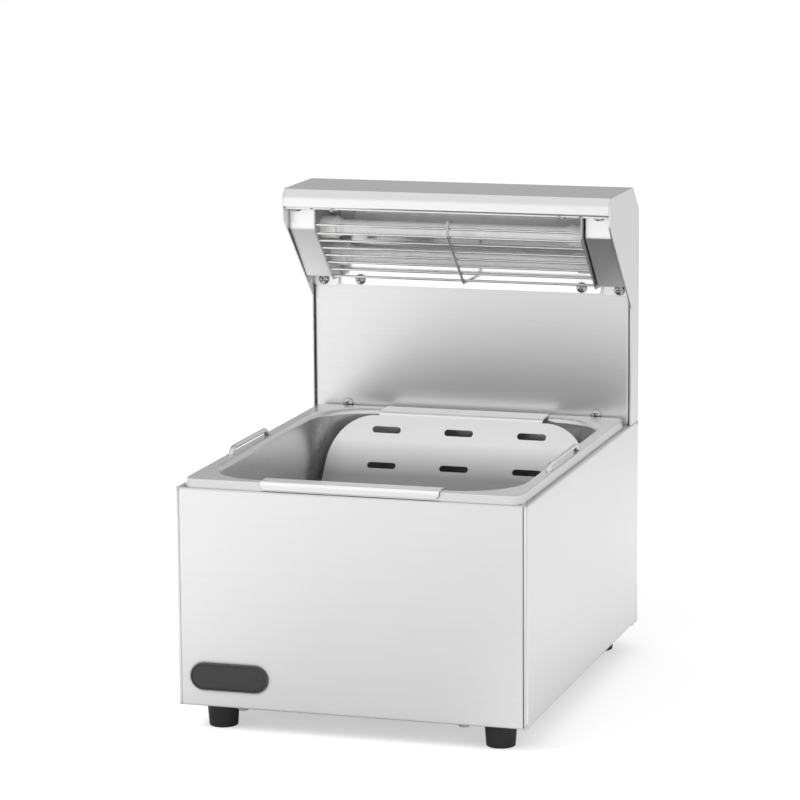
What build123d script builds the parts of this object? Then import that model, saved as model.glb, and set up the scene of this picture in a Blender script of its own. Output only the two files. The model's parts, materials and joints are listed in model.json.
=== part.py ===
from build123d import *
import math
import os

# Counter-top chip warmer. All sizes are in millimetres.
# Modelling frame: X to the right and centred, Y from the casing's front face towards the rear,
# Z up from the casing's bottom edge. place() moves every piece to the part's own frame, which
# has its origin on the floor, under the middle of the object's box.

# ---------------------------------------------------------------- driving dimensions
# Casing
CASE_WIDTH = 274.0
CASE_DEPTH = 354.0
CASE_HEIGHT = 169.0
SHEET = 1.2
BEND = 0.8
SEAM = 0.7
RELIEF = 3.0
FRONT_LEDGE = 4.2
SIDE_LEDGE = 6.0
REAR_LEDGE = 6.0
END_FLANGE = 18.0
SIDE_FLANGE = 45.0
LAP_FLANGE = 14.0
LIP_DEPTH = 16.0
SHIELD_SETBACK = 3.5

# Feet
FOOT_HEIGHT = 20.0
FOOT_TOP_R = 12.5
FOOT_BOTTOM_R = 11.0
FOOT_INSET_X = 27.0
FOOT_INSET_Y = 25.0
FOOT_WELL_R = 6.0
FOOT_WELL_DEPTH = 9.0
FOOT_SCREW_R = 2.5
FOOT_HEAD_R = 4.5
FOOT_NUT_R = 4.6
FOOT_NUT_HEIGHT = 4.0

# Badge
BADGE_LENGTH = 61.7
BADGE_HEIGHT = 21.0
BADGE_THICKNESS = 2.5
BADGE_INSET = 41.1
BADGE_Z = 23.7
BADGE_EDGE = 1.6

# Pan
PAN_INSET_X = 4.5
PAN_FLOOR_HEIGHT = 25.3
PAN_SHEET = 1.0
PAN_FLANGE = 12.5
PAN_SKIRT = 6.3
PAN_FLARE = 1.2
PAN_MOUTH_RADIUS = 4.5
PAN_OUTER_CORNER = 10.0
PAN_CORNER = 45.0
PAN_FLOOR_RADIUS = 18.0
PAN_TAPER = 2.5
PAN_FRONT = 2.5

# Bails
BAIL_INSET = 5.0
BAIL_WIRE_R = 2.0
BAIL_SPAN = 86.4
BAIL_FORWARD = 23.8
BAIL_RISE = 4.7
BAIL_BEND = 8.0
BAIL_STOP_R = 2.6
BAIL_STOP_HEIGHT = 2.5
BAIL_TRAVEL = 30.0
BAIL_CLEARANCE = 0.3

# Chip insert
INSERT_SHEET = 1.2
INSERT_CLEARANCE = 0.3
INSERT_FORWARD = 6.5
INSERT_RISE = 47.2
INSERT_SIDE_SPACE = 10.0
INSERT_LIP_INSET = 40.5
INSERT_REAR_SHOULDER = 38.0
INSERT_FRONT_SHOULDER = 48.0
INSERT_SHOULDER_DROP = 2.3
INSERT_BEND = 3.0
INSERT_FACE_DROP = 4.9
INSERT_FACE_CORNER = 4.0
INSERT_REAR_LIP = 22.0
SLOT_LENGTH = 24.4
SLOT_WIDTH = 5.5
SLOT_EDGE = 36.1
SLOT_ROWS = 12
SLOT_FIRST_ANGLE = 24.0

# Column and hood
CHEEK_INSET = 0.5
COLUMN_DEPTH = 26.5
COLUMN_HEIGHT = 195.0
SPLASH_SETBACK = 3.5
SPLASH_GAP = 1.5
SPLASH_FLANGE = 12.0
CHEEK_GAP = 0.1
HOOD_DEPTH = 99.5
# Places on the hood and the lamp unit: a drop is below the hood's top, a setback is behind
# the fascia, and a forward is in front of the column's front edge or another named middle.
SLOPE_LOW_DROP = 97.0
SLOPE_HIGH_DROP = 24.0
HOOD_SLOPE_BEND = 9.0
FASCIA_HEIGHT = 14.9
FASCIA_BEND_DROP = 6.2
FASCIA_CHAMFER = 6.5
REAR_CHAMFER_Y = 21.6
REAR_CHAMFER_Z = 20.4
HOOD_RETURN = 12.5
HOOD_LAP_DROP = 46.0
HOOD_LAP_STRIP = 18.0
UPSTAND = 20.0
WIRE_SLOT_WIDTH = 44.0
WIRE_SLOT_DEPTH = 8.0

# Lamp unit
UPPER_TUBE_FORWARD = 45.6
UPPER_TUBE_DROP = 33.0
LOWER_TUBE_FORWARD = 17.8
LOWER_TUBE_DROP = 59.0
TUBE_R = 6.25
TUBE_WALL = 1.2
CAP_R = 9.25
CAP_LENGTH = 13.6
CAP_COLLAR_R = 7.4
CAP_COLLAR = 3.0
CAP_BOSS_R = 4.0
CAP_BOSS_OUT = 4.2
TUBE_SEAT = 8.0
COIL_R = 3.4
END_PLATE_GAP = 1.4
END_PLATE_SHEET = 1.0
END_PLATE_SETBACK = 6.9
END_PLATE_DROP = 80.8
LAMP_COVER_WIDTH = 22.0
LAMP_COVER_SETBACK = 14.0
LAMP_COVER_BEND_DROP = 34.0
LAMP_COVER_LOW_FORWARD = 17.0
LAMP_COVER_DROP = 78.5
LAMP_COVER_HEM = 10.0
LAMP_COVER_TOP = 12.0
LAMP_COVER_CORNER = 2.5
REFLECTOR_SHEET = 1.0
REFLECTOR_DROP = 87.5
REFLECTOR_STANDOFF = 20.5
REFLECTOR_SETBACK = 2.3
REFLECTOR_BEND = 9.0
REFLECTOR_CORNER = 3.0

# Wire guard
GUARD_WIRE_R = 1.0
GUARD_TOP_SETBACK = 8.4
GUARD_TOP_DROP = 29.2
GUARD_FIRST_SETBACK = 10.5
GUARD_FIRST_DROP = 36.4
GUARD_STEP_BACK = 7.1
GUARD_STEP_DOWN = 6.82
GUARD_SLOPE_WIRES = 7
GUARD_EDGE = 0.2
SUPPORT_X = 1.2
SUPPORT_TOP_DROP = 22.5
SUPPORT_BEND = 3.0
SUPPORT_GAP = 0.05

# Screws
SCREW_R = 1.95
SCREW_HOLE_R = 2.0
SCREW_HEAD_R = 4.3
SCREW_HEAD = 2.3
SCREW_LENGTH = 6.0
CROSS_LENGTH = 4.6
CROSS_WIDTH = 1.0
CROSS_DEPTH = 1.3
BASE_SCREW_INSET_X = 50.0
BASE_SCREW_INSET = 5.5
BASE_SIDE_SCREW_Y = 70.0
SPLASH_SCREW_INSET = 27.3
SPLASH_SCREW_RISE = 7.3
REFLECTOR_SCREW_INSET = 16.2
REFLECTOR_SCREW_DROP = 83.0
REFLECTOR_SCREW_SETBACK = 5.7
COVER_SCREW_INSET = 13.0
COVER_SCREW_DROP = 83.8
COVER_SCREW_SETBACK = 6.1
LAP_SCREW_INSET = 31.2
LAP_SCREW_LOWER = 4.0
REAR_SCREW_INSET_X = 9.0
REAR_SCREW_LOW = 34.0
REAR_SCREW_HIGH_DROP = 31.0
OVER = 1.0

# Rear fittings
SWITCH_INSET = 65.0
SWITCH_Z = 46.0
SWITCH_BEZEL_X = 24.0
SWITCH_BEZEL_Z = 31.0
SWITCH_BEZEL = 2.0
SWITCH_WALL = 1.5
SWITCH_RIM = 3.5
SWITCH_BODY_DEPTH = 15.0
SWITCH_CORNER = 1.5
ROCKER_CLEARANCE = 0.3
ROCKER_PIVOT_DEPTH = 3.5
ROCKER_PIN_R = 1.2
ROCKER_PIN_CLEARANCE = 0.05
ROCKER_VALLEY = 5.2
ROCKER_RISE = 1.2
ROCKER_BELOW = 4.0
ROCKER_ANGLE = 8.0
SWITCH_TAB = 6.0
GLAND_INSET = 59.0
GLAND_Z = 34.0
GLAND_THREAD_R = 8.0
GLAND_BORE_R = 4.2
GLAND_HEX = 10.0
GLAND_HEX_LENGTH = 4.0
GLAND_DOME_LENGTH = 6.0
GLAND_DOME_R = 8.6
GLAND_TAIL = 8.0
GLAND_NUT_LENGTH = 4.0
GLAND_CLEARANCE = 0.05
VENT_COUNT = 9
VENT_PITCH = 9.0
VENT_WIDTH = 4.0
VENT_HEIGHT = 34.0
VENT_DROP = 49.0
BASE_VENT_COUNT = 7
BASE_VENT_PITCH = 16.0
BASE_VENT_LENGTH = 70.0
BLOCK_WIDTH = 36.0
BLOCK_DEPTH = 14.0
BLOCK_HEIGHT = 15.0
BLOCK_POLES = 3
BLOCK_POLE_R = 1.8
EARTH_X = 34.0
EARTH_R = 2.5
EARTH_HEIGHT = 16.0
WIRE_R = 1.4
WIRE_BEND = 7.0
WIRE_LANE = 5.0
LINK_BEND = 3.4
LINK_X = 34.0
LINK_LANE = 6.0
SHIELD_FOOT = 9.0
SLOT_GAP = 0.2

# ---------------------------------------------------------------- sizes that follow
HALF_CASE = CASE_WIDTH / 2
SIDE_INNER = HALF_CASE - SHEET
FRONT_HALF = HALF_CASE - SEAM
BEND_OUT = SHEET + BEND
PLATE_GAP = BEND + 0.1
PLATE_HALF = SIDE_INNER - PLATE_GAP
PLATE_FRONT = SHEET + PLATE_GAP
PLATE_REAR = CASE_DEPTH - SHEET - PLATE_GAP
BASE_TOP = 2 * SHEET
WELL_TOP = CASE_HEIGHT - SHEET
WELL_HALF = HALF_CASE - SIDE_LEDGE
COLUMN_FRONT = CASE_DEPTH - COLUMN_DEPTH
PAN_WIDTH = CASE_WIDTH - 2 * PAN_INSET_X
PAN_LENGTH = COLUMN_FRONT - PAN_FRONT
PAN_REAR = PAN_FRONT + PAN_LENGTH
PAN_CENTRE_Y = PAN_FRONT + PAN_LENGTH / 2
WELL_REAR = PAN_REAR - (FRONT_LEDGE - PAN_FRONT)
PAN_TOP = CASE_HEIGHT + PAN_SKIRT
PAN_DEPTH = PAN_TOP - PAN_FLOOR_HEIGHT
PAN_FLANGE_UNDER = PAN_TOP - PAN_SHEET
PAN_INNER_WIDTH = PAN_WIDTH - 2 * PAN_FLANGE
PAN_INNER_LENGTH = PAN_LENGTH - 2 * PAN_FLANGE
BAIL_X = PAN_WIDTH / 2 - BAIL_INSET
BAIL_CENTRE_Y = PAN_CENTRE_Y - BAIL_FORWARD
INSERT_RADIUS = PAN_INNER_LENGTH / 2 - INSERT_CLEARANCE
INSERT_CENTRE_Y = PAN_CENTRE_Y - INSERT_FORWARD
INSERT_HALF_WIDTH = PAN_INNER_WIDTH / 2 - INSERT_SIDE_SPACE
INSERT_LIP_HALF_WIDTH = INSERT_HALF_WIDTH - INSERT_LIP_INSET
SLOT_PITCH_X = INSERT_HALF_WIDTH - SLOT_EDGE - SLOT_LENGTH / 2
SHIELD_Y = WELL_REAR - SHIELD_SETBACK - SHEET
CHEEK_OUTER = HALF_CASE - CHEEK_INSET
CHEEK_INNER = CHEEK_OUTER - SHEET
HOOD_HALF = CHEEK_INNER - CHEEK_GAP
HOOD_FRONT = CASE_DEPTH - HOOD_DEPTH
HOOD_TOP = CASE_HEIGHT + COLUMN_HEIGHT
HOOD_SLOPE_LOW = HOOD_TOP - SLOPE_LOW_DROP
HOOD_SLOPE_HIGH = HOOD_TOP - SLOPE_HIGH_DROP
HOOD_LAP_Z = HOOD_TOP - HOOD_LAP_DROP
FASCIA_BOTTOM = HOOD_TOP - FASCIA_HEIGHT
FASCIA_BEND_Z = HOOD_TOP - FASCIA_BEND_DROP
SPLASH_Y = COLUMN_FRONT + SPLASH_SETBACK
SPLASH_BACK = SPLASH_Y + SHEET
SPLASH_HALF = CHEEK_INNER - SPLASH_GAP
SPLASH_TOP = HOOD_TOP - REAR_CHAMFER_Z
REAR_FACE = CASE_DEPTH
UPPER_TUBE = (COLUMN_FRONT - UPPER_TUBE_FORWARD, HOOD_TOP - UPPER_TUBE_DROP)
LOWER_TUBE = (COLUMN_FRONT - LOWER_TUBE_FORWARD, HOOD_TOP - LOWER_TUBE_DROP)
LAMP_COVER_X = HOOD_HALF - LAMP_COVER_WIDTH
LAMP_COVER_FACE = HOOD_FRONT + LAMP_COVER_SETBACK
LAMP_COVER_BEND_Z = HOOD_TOP - LAMP_COVER_BEND_DROP
LAMP_COVER_LOW_Y = COLUMN_FRONT - LAMP_COVER_LOW_FORWARD
LAMP_COVER_LOW_Z = HOOD_TOP - LAMP_COVER_DROP
END_PLATE_X = LAMP_COVER_X - END_PLATE_GAP - END_PLATE_SHEET
END_PLATE_FRONT = HOOD_FRONT + END_PLATE_SETBACK
END_PLATE_BOTTOM = HOOD_TOP - END_PLATE_DROP
CAP_INNER_X = END_PLATE_X - CAP_LENGTH
REFLECTOR_BOTTOM = HOOD_TOP - REFLECTOR_DROP
REFLECTOR_FRONT = HOOD_FRONT + REFLECTOR_SETBACK
BLOCK_Y = (SHIELD_Y + SHEET + SHIELD_FOOT + REAR_FACE - SHEET) / 2
LEAD_X = (LAMP_COVER_X + HOOD_HALF) / 2
WIRE_Y = (SPLASH_BACK + SHEET + REAR_FACE - REAR_LEDGE) / 2
REFLECTOR_HALF = END_PLATE_X - CHEEK_GAP
BASE_SCREW_X = HALF_CASE - BASE_SCREW_INSET_X
SPLASH_SCREW_X = SPLASH_HALF - SPLASH_SCREW_INSET
SPLASH_SCREW_Z = CASE_HEIGHT + SPLASH_SCREW_RISE
REFLECTOR_SCREW_X = REFLECTOR_HALF - REFLECTOR_SCREW_INSET
REFLECTOR_SCREW_Y = HOOD_FRONT + REFLECTOR_SCREW_SETBACK
REFLECTOR_SCREW_Z = HOOD_TOP - REFLECTOR_SCREW_DROP
COVER_SCREW_X = LAMP_COVER_X + COVER_SCREW_INSET
COVER_SCREW_Y = HOOD_FRONT + COVER_SCREW_SETBACK
COVER_SCREW_Z = HOOD_TOP - COVER_SCREW_DROP
LAP_SCREW_X = HOOD_HALF - LAP_SCREW_INSET
BADGE_X = BADGE_INSET - HALF_CASE
SWITCH_X = SWITCH_INSET - HALF_CASE
GLAND_X = HALF_CASE - GLAND_INSET
VENT_Z = CASE_HEIGHT - VENT_DROP
INSERT_ARC_Z = PAN_TOP + INSERT_RISE
FOOT_X = HALF_CASE - FOOT_INSET_X
FEET = [(sx, y) for y in (FOOT_INSET_Y, CASE_DEPTH - FOOT_INSET_Y) for sx in (-1, 1)]
FOOT_NAMES = ("foot_front_left", "foot_front_right", "foot_rear_left", "foot_rear_right")
BASE_END_SCREWS = [(sx * BASE_SCREW_X, y) for sx in (-1, 1)
                   for y in (BASE_SCREW_INSET, CASE_DEPTH - BASE_SCREW_INSET)]
BASE_SIDE_SCREWS = [(sx * (HALF_CASE - SIDE_FLANGE / 2), CASE_DEPTH / 2 + sy * BASE_SIDE_SCREW_Y)
                    for sx in (-1, 1) for sy in (-1, 1)]
LAP_SCREWS = [(x, (HOOD_LAP_Z + HOOD_TOP - REAR_CHAMFER_Z) / 2 - LAP_SCREW_LOWER)
              for x in (-LAP_SCREW_X, 0.0, LAP_SCREW_X)]
REAR_SCREWS = [(sx * (HALF_CASE - REAR_SCREW_INSET_X), z) for sx in (-1, 1)
               for z in (REAR_SCREW_LOW, CASE_HEIGHT - REAR_SCREW_HIGH_DROP)]
GUARD_STEP = math.hypot(GUARD_STEP_BACK, GUARD_STEP_DOWN)
GUARD_OUT = (-GUARD_STEP_DOWN / GUARD_STEP, -GUARD_STEP_BACK / GUARD_STEP)
GUARD_RATE = -GUARD_STEP_DOWN / GUARD_STEP_BACK
GUARD_WIRES = [(HOOD_FRONT + GUARD_TOP_SETBACK, HOOD_TOP - GUARD_TOP_DROP)] + [
    (HOOD_FRONT + GUARD_FIRST_SETBACK + i * GUARD_STEP_BACK,
     HOOD_TOP - GUARD_FIRST_DROP - i * GUARD_STEP_DOWN)
    for i in range(GUARD_SLOPE_WIRES)]
SUPPORT_TOP = HOOD_TOP - SUPPORT_TOP_DROP
BAIL_TOP = PAN_TOP + BAIL_RISE
SWITCH_PIVOT_Y = REAR_FACE + SWITCH_BEZEL - ROCKER_PIVOT_DEPTH
FRONT_REACH = BADGE_THICKNESS
REAR_REACH = GLAND_HEX_LENGTH + GLAND_DOME_LENGTH
SHIFT_Y = -(CASE_DEPTH + REAR_REACH - FRONT_REACH) / 2


# ---------------------------------------------------------------- helpers
def place(shape):
    """The piece in the part's own frame."""
    return Pos(0, SHIFT_Y, FOOT_HEIGHT) * shape


def strip_outline(points, thickness, bend):
    """Closed outline of bent sheet that lies to the left of `points`, with rounded bends."""
    count = len(points)
    ways = []
    for (ax, ay), (bx, by) in zip(points, points[1:]):
        run = math.hypot(bx - ax, by - ay)
        ways.append(((bx - ax) / run, (by - ay) / run))
    far_side = []
    near_radii = [0.0] * count
    far_radii = [0.0] * count
    for i, (px, py) in enumerate(points):
        before = ways[max(i - 1, 0)]
        after = ways[min(i, count - 2)]
        scale = thickness / (1 + before[0] * after[0] + before[1] * after[1])
        far_side.append((px - (before[1] + after[1]) * scale, py + (before[0] + after[0]) * scale))
        turn = before[0] * after[1] - before[1] * after[0]
        if 0 < i < count - 1:
            near_radii[i] = bend + thickness if turn > 0 else bend
            far_radii[i] = bend if turn > 0 else bend + thickness
    outline = list(points) + far_side[::-1]
    return FilletPolyline(*outline, radius=near_radii + far_radii[::-1], close=True)


def bent_sheet(plane, points, start, end, thickness=SHEET, bend=BEND):
    """Bent sheet whose section lies in `plane`, from `start` to `end` along its normal."""
    section = plane.offset(start) * make_face(strip_outline(points, thickness, bend))
    return extrude(section, amount=end - start)


def block(x0, x1, y0, y1, z0, z1):
    """Box between two corners."""
    return Pos((x0 + x1) / 2, (y0 + y1) / 2, (z0 + z1) / 2) * Box(x1 - x0, y1 - y0, z1 - z0)


def rod_x(y, z, radius, x0, x1):
    """Round bar along X."""
    return Pos((x0 + x1) / 2, y, z) * Rot(0, 90, 0) * Cylinder(radius, x1 - x0)


def rod_y(x, z, radius, y0, y1):
    """Round bar along Y."""
    return Pos(x, (y0 + y1) / 2, z) * Rot(90, 0, 0) * Cylinder(radius, y1 - y0)


def rod_z(x, y, radius, z0, z1):
    """Round bar along Z."""
    return Pos(x, y, (z0 + z1) / 2) * Cylinder(radius, z1 - z0)


def screw():
    """Pan-head screw with a cross recess: head below Z = 0 and shank up to SCREW_LENGTH."""
    head = Pos(0, 0, -SCREW_HEAD / 2) * Cylinder(SCREW_HEAD_R, SCREW_HEAD)
    head = fillet(head.edges().sort_by(Axis.Z)[0], SCREW_HEAD * 0.6)
    recess = Box(CROSS_LENGTH, CROSS_WIDTH, 2 * CROSS_DEPTH)
    recess += Box(CROSS_WIDTH, CROSS_LENGTH, 2 * CROSS_DEPTH)
    head -= Pos(0, 0, -SCREW_HEAD) * recess
    return head + rod_z(0, 0, SCREW_R, -0.2, SCREW_LENGTH)


SCREW = screw()


def screw_up(x, y, z):
    """Screw whose head bears upwards on a face at height z."""
    return Pos(x, y, z) * SCREW


def screw_back(x, y, z):
    """Screw driven towards the rear, with its head in front of the face at y."""
    return Pos(x, y, z) * Rot(-90, 0, 0) * SCREW


def screw_forward(x, y, z):
    """Screw driven towards the front, with its head behind the face at y."""
    return Pos(x, y, z) * Rot(90, 0, 0) * SCREW


def drill_z(shape, spots, z0, z1, radius=SCREW_HOLE_R):
    """Holes along Z at each (x, y)."""
    for x, y in spots:
        shape -= rod_z(x, y, radius, z0, z1)
    return shape


def drill_y(shape, spots, y0, y1, radius=SCREW_HOLE_R):
    """Holes along Y at each (x, z)."""
    for x, z in spots:
        shape -= rod_y(x, z, radius, y0, y1)
    return shape


def both_sides(shape):
    """The piece and its mirror image in the YZ plane."""
    return {"right": shape, "left": mirror(shape, about=Plane.YZ)}


# ---------------------------------------------------------------- casing
def make_end_panel(ledge):
    """Front panel: face, top ledge and bottom flange in one bent sheet."""
    points = [(ledge, CASE_HEIGHT), (0, CASE_HEIGHT), (0, 0), (END_FLANGE, 0)]
    panel = bent_sheet(Plane.YZ, points, -FRONT_HALF, FRONT_HALF)
    for side in (-1, 1):
        near, far = sorted((side * (SIDE_INNER - SLOT_GAP), side * HALF_CASE))
        panel -= block(near, far, SHEET, END_FLANGE + OVER, -OVER, RELIEF)
    return panel


def make_front_panel():
    return drill_z(make_end_panel(FRONT_LEDGE), BASE_END_SCREWS, -OVER, SHEET + OVER)


def make_rear_panel():
    """Rear panel with the switch cut-out, the gland hole and the vents."""
    panel = Pos(0, CASE_DEPTH, 0) * mirror(make_end_panel(REAR_LEDGE), about=Plane.XZ)
    panel = drill_z(panel, BASE_END_SCREWS, -OVER, SHEET + OVER)
    panel = drill_y(panel, REAR_SCREWS, REAR_FACE - SHEET - OVER, REAR_FACE + OVER)
    cut_x = SWITCH_BEZEL_X - SWITCH_RIM
    cut_z = SWITCH_BEZEL_Z - SWITCH_RIM
    panel -= Pos(SWITCH_X, REAR_FACE, SWITCH_Z) * Box(cut_x, 4 * SHEET, cut_z)
    thread = GLAND_THREAD_R + GLAND_CLEARANCE
    panel -= rod_y(GLAND_X, GLAND_Z, thread, REAR_FACE - 3 * SHEET, REAR_FACE + OVER)
    for i in range(VENT_COUNT):
        x = (i - (VENT_COUNT - 1) / 2) * VENT_PITCH
        vent = Plane.XZ * SlotOverall(VENT_HEIGHT, VENT_WIDTH, rotation=90)
        panel -= Pos(x, REAR_FACE + OVER, VENT_Z) * extrude(vent, amount=3 * SHEET + OVER)
    return panel


def make_side_panel():
    """Right side panel: the outer sheet with a flange on each of its four edges."""
    lap = [(HALF_CASE - LAP_FLANGE, SHEET), (HALF_CASE, SHEET),
           (HALF_CASE, CASE_DEPTH - SHEET), (HALF_CASE - LAP_FLANGE, CASE_DEPTH - SHEET)]
    panel = bent_sheet(Plane.XY, lap, RELIEF, CASE_HEIGHT - RELIEF)
    ledge = [(HALF_CASE, CASE_HEIGHT - 5 * BEND_OUT), (HALF_CASE, CASE_HEIGHT), (WELL_HALF, CASE_HEIGHT)]
    panel += bent_sheet(Plane.XZ, ledge, -(CASE_DEPTH - REAR_LEDGE - SLOT_GAP), -(FRONT_LEDGE + SLOT_GAP))
    foot_flange = [(HALF_CASE - SIDE_FLANGE, 0), (HALF_CASE, 0), (HALF_CASE, 5 * BEND_OUT)]
    near = END_FLANGE + SLOT_GAP
    panel += bent_sheet(Plane.XZ, foot_flange, near - CASE_DEPTH, -near)
    start = SHEET + BEND_OUT
    panel += block(SIDE_INNER, HALF_CASE, start, END_FLANGE + 2, 0, 2 * RELIEF)
    panel += block(SIDE_INNER, HALF_CASE, CASE_DEPTH - END_FLANGE - 2, CASE_DEPTH - start, 0, 2 * RELIEF)
    spots = [(FOOT_X, y) for sx, y in FEET if sx > 0]
    panel = drill_z(panel, spots, -OVER, SHEET + OVER, FOOT_SCREW_R + 0.1)
    panel = drill_z(panel, BASE_SIDE_SCREWS, -OVER, SHEET + OVER)
    return drill_y(panel, REAR_SCREWS, REAR_FACE - 4 * SHEET, REAR_FACE)


def make_base_plate():
    """Floor of the casing with vent slots and the fixing holes."""
    plate = block(-PLATE_HALF, PLATE_HALF, PLATE_FRONT, PLATE_REAR, SHEET, BASE_TOP)
    for i in range(BASE_VENT_COUNT):
        x = (i - (BASE_VENT_COUNT - 1) / 2) * BASE_VENT_PITCH
        slot = extrude(SlotOverall(BASE_VENT_LENGTH, VENT_WIDTH, rotation=90), amount=3 * SHEET)
        plate -= Pos(x, CASE_DEPTH / 2, 0) * slot
    plate = drill_z(plate, [(sx * FOOT_X, y) for sx, y in FEET], 0, BASE_TOP + OVER, FOOT_SCREW_R + 0.1)
    plate = drill_z(plate, BASE_END_SCREWS + BASE_SIDE_SCREWS, 0, BASE_TOP + OVER)
    return drill_z(plate, [(EARTH_X, BLOCK_Y)], 0, BASE_TOP + OVER, EARTH_R + 0.1)


def make_well_frame():
    """Ring under the ledges with a turned-down lip round the well."""
    low = WELL_TOP - SHEET
    opening = (-WELL_HALF, WELL_HALF, FRONT_LEDGE, WELL_REAR)
    frame = block(-PLATE_HALF, PLATE_HALF, PLATE_FRONT, PLATE_REAR, low, WELL_TOP)
    lip = block(opening[0] - SHEET, opening[1] + SHEET, opening[2], opening[3] + SHEET,
                WELL_TOP - LIP_DEPTH, WELL_TOP)
    frame += lip
    frame -= block(opening[0], opening[1], opening[2] + SHEET, opening[3], 0, CASE_HEIGHT)
    return frame - wire_slot()


def wire_slot():
    """Slot through the ring and the deck for the lamp wires."""
    slot = extrude(SlotOverall(WIRE_SLOT_WIDTH, WIRE_SLOT_DEPTH), amount=6 * SHEET)
    return Pos(0, WIRE_Y, CASE_HEIGHT - 4 * SHEET) * slot


def make_rear_deck():
    """Deck behind the pan with the upstand that the splash panel is screwed to."""
    deck = block(-WELL_HALF + SLOT_GAP, WELL_HALF - SLOT_GAP, WELL_REAR, REAR_FACE - REAR_LEDGE - SLOT_GAP,
                 WELL_TOP, CASE_HEIGHT)
    half = SPLASH_HALF - SPLASH_FLANGE
    deck += block(-half, half, SPLASH_BACK, SPLASH_BACK + SHEET, WELL_TOP, CASE_HEIGHT + UPSTAND)
    spots = [(sx * SPLASH_SCREW_X, SPLASH_SCREW_Z) for sx in (-1, 1)]
    return drill_y(deck, spots, SPLASH_BACK - OVER, SPLASH_BACK + SHEET + OVER) - wire_slot()


def make_wiring_shield():
    """Sheet that parts the pan's well from the wiring behind it."""
    top = WELL_TOP - LIP_DEPTH / 2
    points = [(WELL_REAR, top), (SHIELD_Y, top), (SHIELD_Y, BASE_TOP), (SHIELD_Y + SHIELD_FOOT, BASE_TOP)]
    half = WELL_HALF - 1.0
    shield = bent_sheet(Plane.YZ, points, -half, half)
    clear = FOOT_X - FOOT_NUT_R - 2.0
    for side in (-1, 1):
        near, far = sorted((side * clear, side * HALF_CASE))
        shield -= block(near, far, SHIELD_Y + SHEET, REAR_FACE, 0, BASE_TOP + BEND_OUT)
    return shield


def make_foot():
    """Tapered rubber foot with a well for its screw, standing from -FOOT_HEIGHT to 0."""
    foot = Pos(0, 0, -FOOT_HEIGHT / 2) * Cone(FOOT_BOTTOM_R, FOOT_TOP_R, FOOT_HEIGHT)
    foot = fillet(foot.edges().sort_by(Axis.Z)[0], 1.0)
    foot -= rod_z(0, 0, FOOT_WELL_R, -FOOT_HEIGHT - OVER, -FOOT_HEIGHT + FOOT_WELL_DEPTH)
    return foot - rod_z(0, 0, FOOT_SCREW_R + 0.1, -FOOT_HEIGHT, 1)


def make_foot_screw():
    """Screw through the foot, the flange and the base plate."""
    seat = -FOOT_HEIGHT + FOOT_WELL_DEPTH
    head = rod_z(0, 0, FOOT_HEAD_R, seat - SCREW_HEAD - OVER, seat)
    head = fillet(head.edges().sort_by(Axis.Z)[0], 1.2)
    head -= Pos(0, 0, seat - SCREW_HEAD - OVER) * Box(CROSS_LENGTH, CROSS_WIDTH, 2 * CROSS_DEPTH)
    return head + rod_z(0, 0, FOOT_SCREW_R, seat - 0.5, BASE_TOP + FOOT_NUT_HEIGHT + OVER)


def make_foot_nut():
    """Hexagon nut on top of the base plate."""
    nut = extrude(RegularPolygon(FOOT_NUT_R, 6), amount=FOOT_NUT_HEIGHT)
    return Pos(0, 0, BASE_TOP) * (nut - rod_z(0, 0, FOOT_SCREW_R + 0.05, -OVER, FOOT_NUT_HEIGHT + OVER))


def make_badge():
    """Plain domed oval badge on the front panel."""
    face = Plane.XZ * SlotOverall(BADGE_LENGTH, BADGE_HEIGHT)
    badge = extrude(face, amount=BADGE_THICKNESS)
    badge = fillet(badge.edges().group_by(Axis.Y)[0], BADGE_EDGE)
    return Pos(BADGE_X, 0, BADGE_Z) * badge


# ---------------------------------------------------------------- pan, bails and insert
def pan_rectangle(width, length, corner, z):
    """Rounded rectangle about the pan's centre at height z."""
    return Pos(0, PAN_CENTRE_Y, z) * RectangleRounded(width, length, corner)


def pan_bowl(grow):
    """Tapered bowl, `grow` outside the pan's inner face, up to the flange's top."""
    shrink = PAN_DEPTH * math.tan(math.radians(PAN_TAPER))
    top = pan_rectangle(PAN_INNER_WIDTH + 2 * grow, PAN_INNER_LENGTH + 2 * grow,
                        PAN_CORNER + grow, PAN_TOP)
    low = pan_rectangle(PAN_INNER_WIDTH + 2 * grow - 2 * shrink,
                        PAN_INNER_LENGTH + 2 * grow - 2 * shrink,
                        PAN_CORNER + grow - shrink, PAN_TOP - PAN_DEPTH - grow)
    bowl = loft([low, top], ruled=True)
    return fillet(bowl.faces().sort_by(Axis.Z)[0].edges(), PAN_FLOOR_RADIUS + grow)


def bail_legs():
    """(x, y) of the four bail legs."""
    return [(sx * BAIL_X, BAIL_CENTRE_Y + sy * BAIL_SPAN / 2) for sx in (-1, 1) for sy in (-1, 1)]


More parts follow.
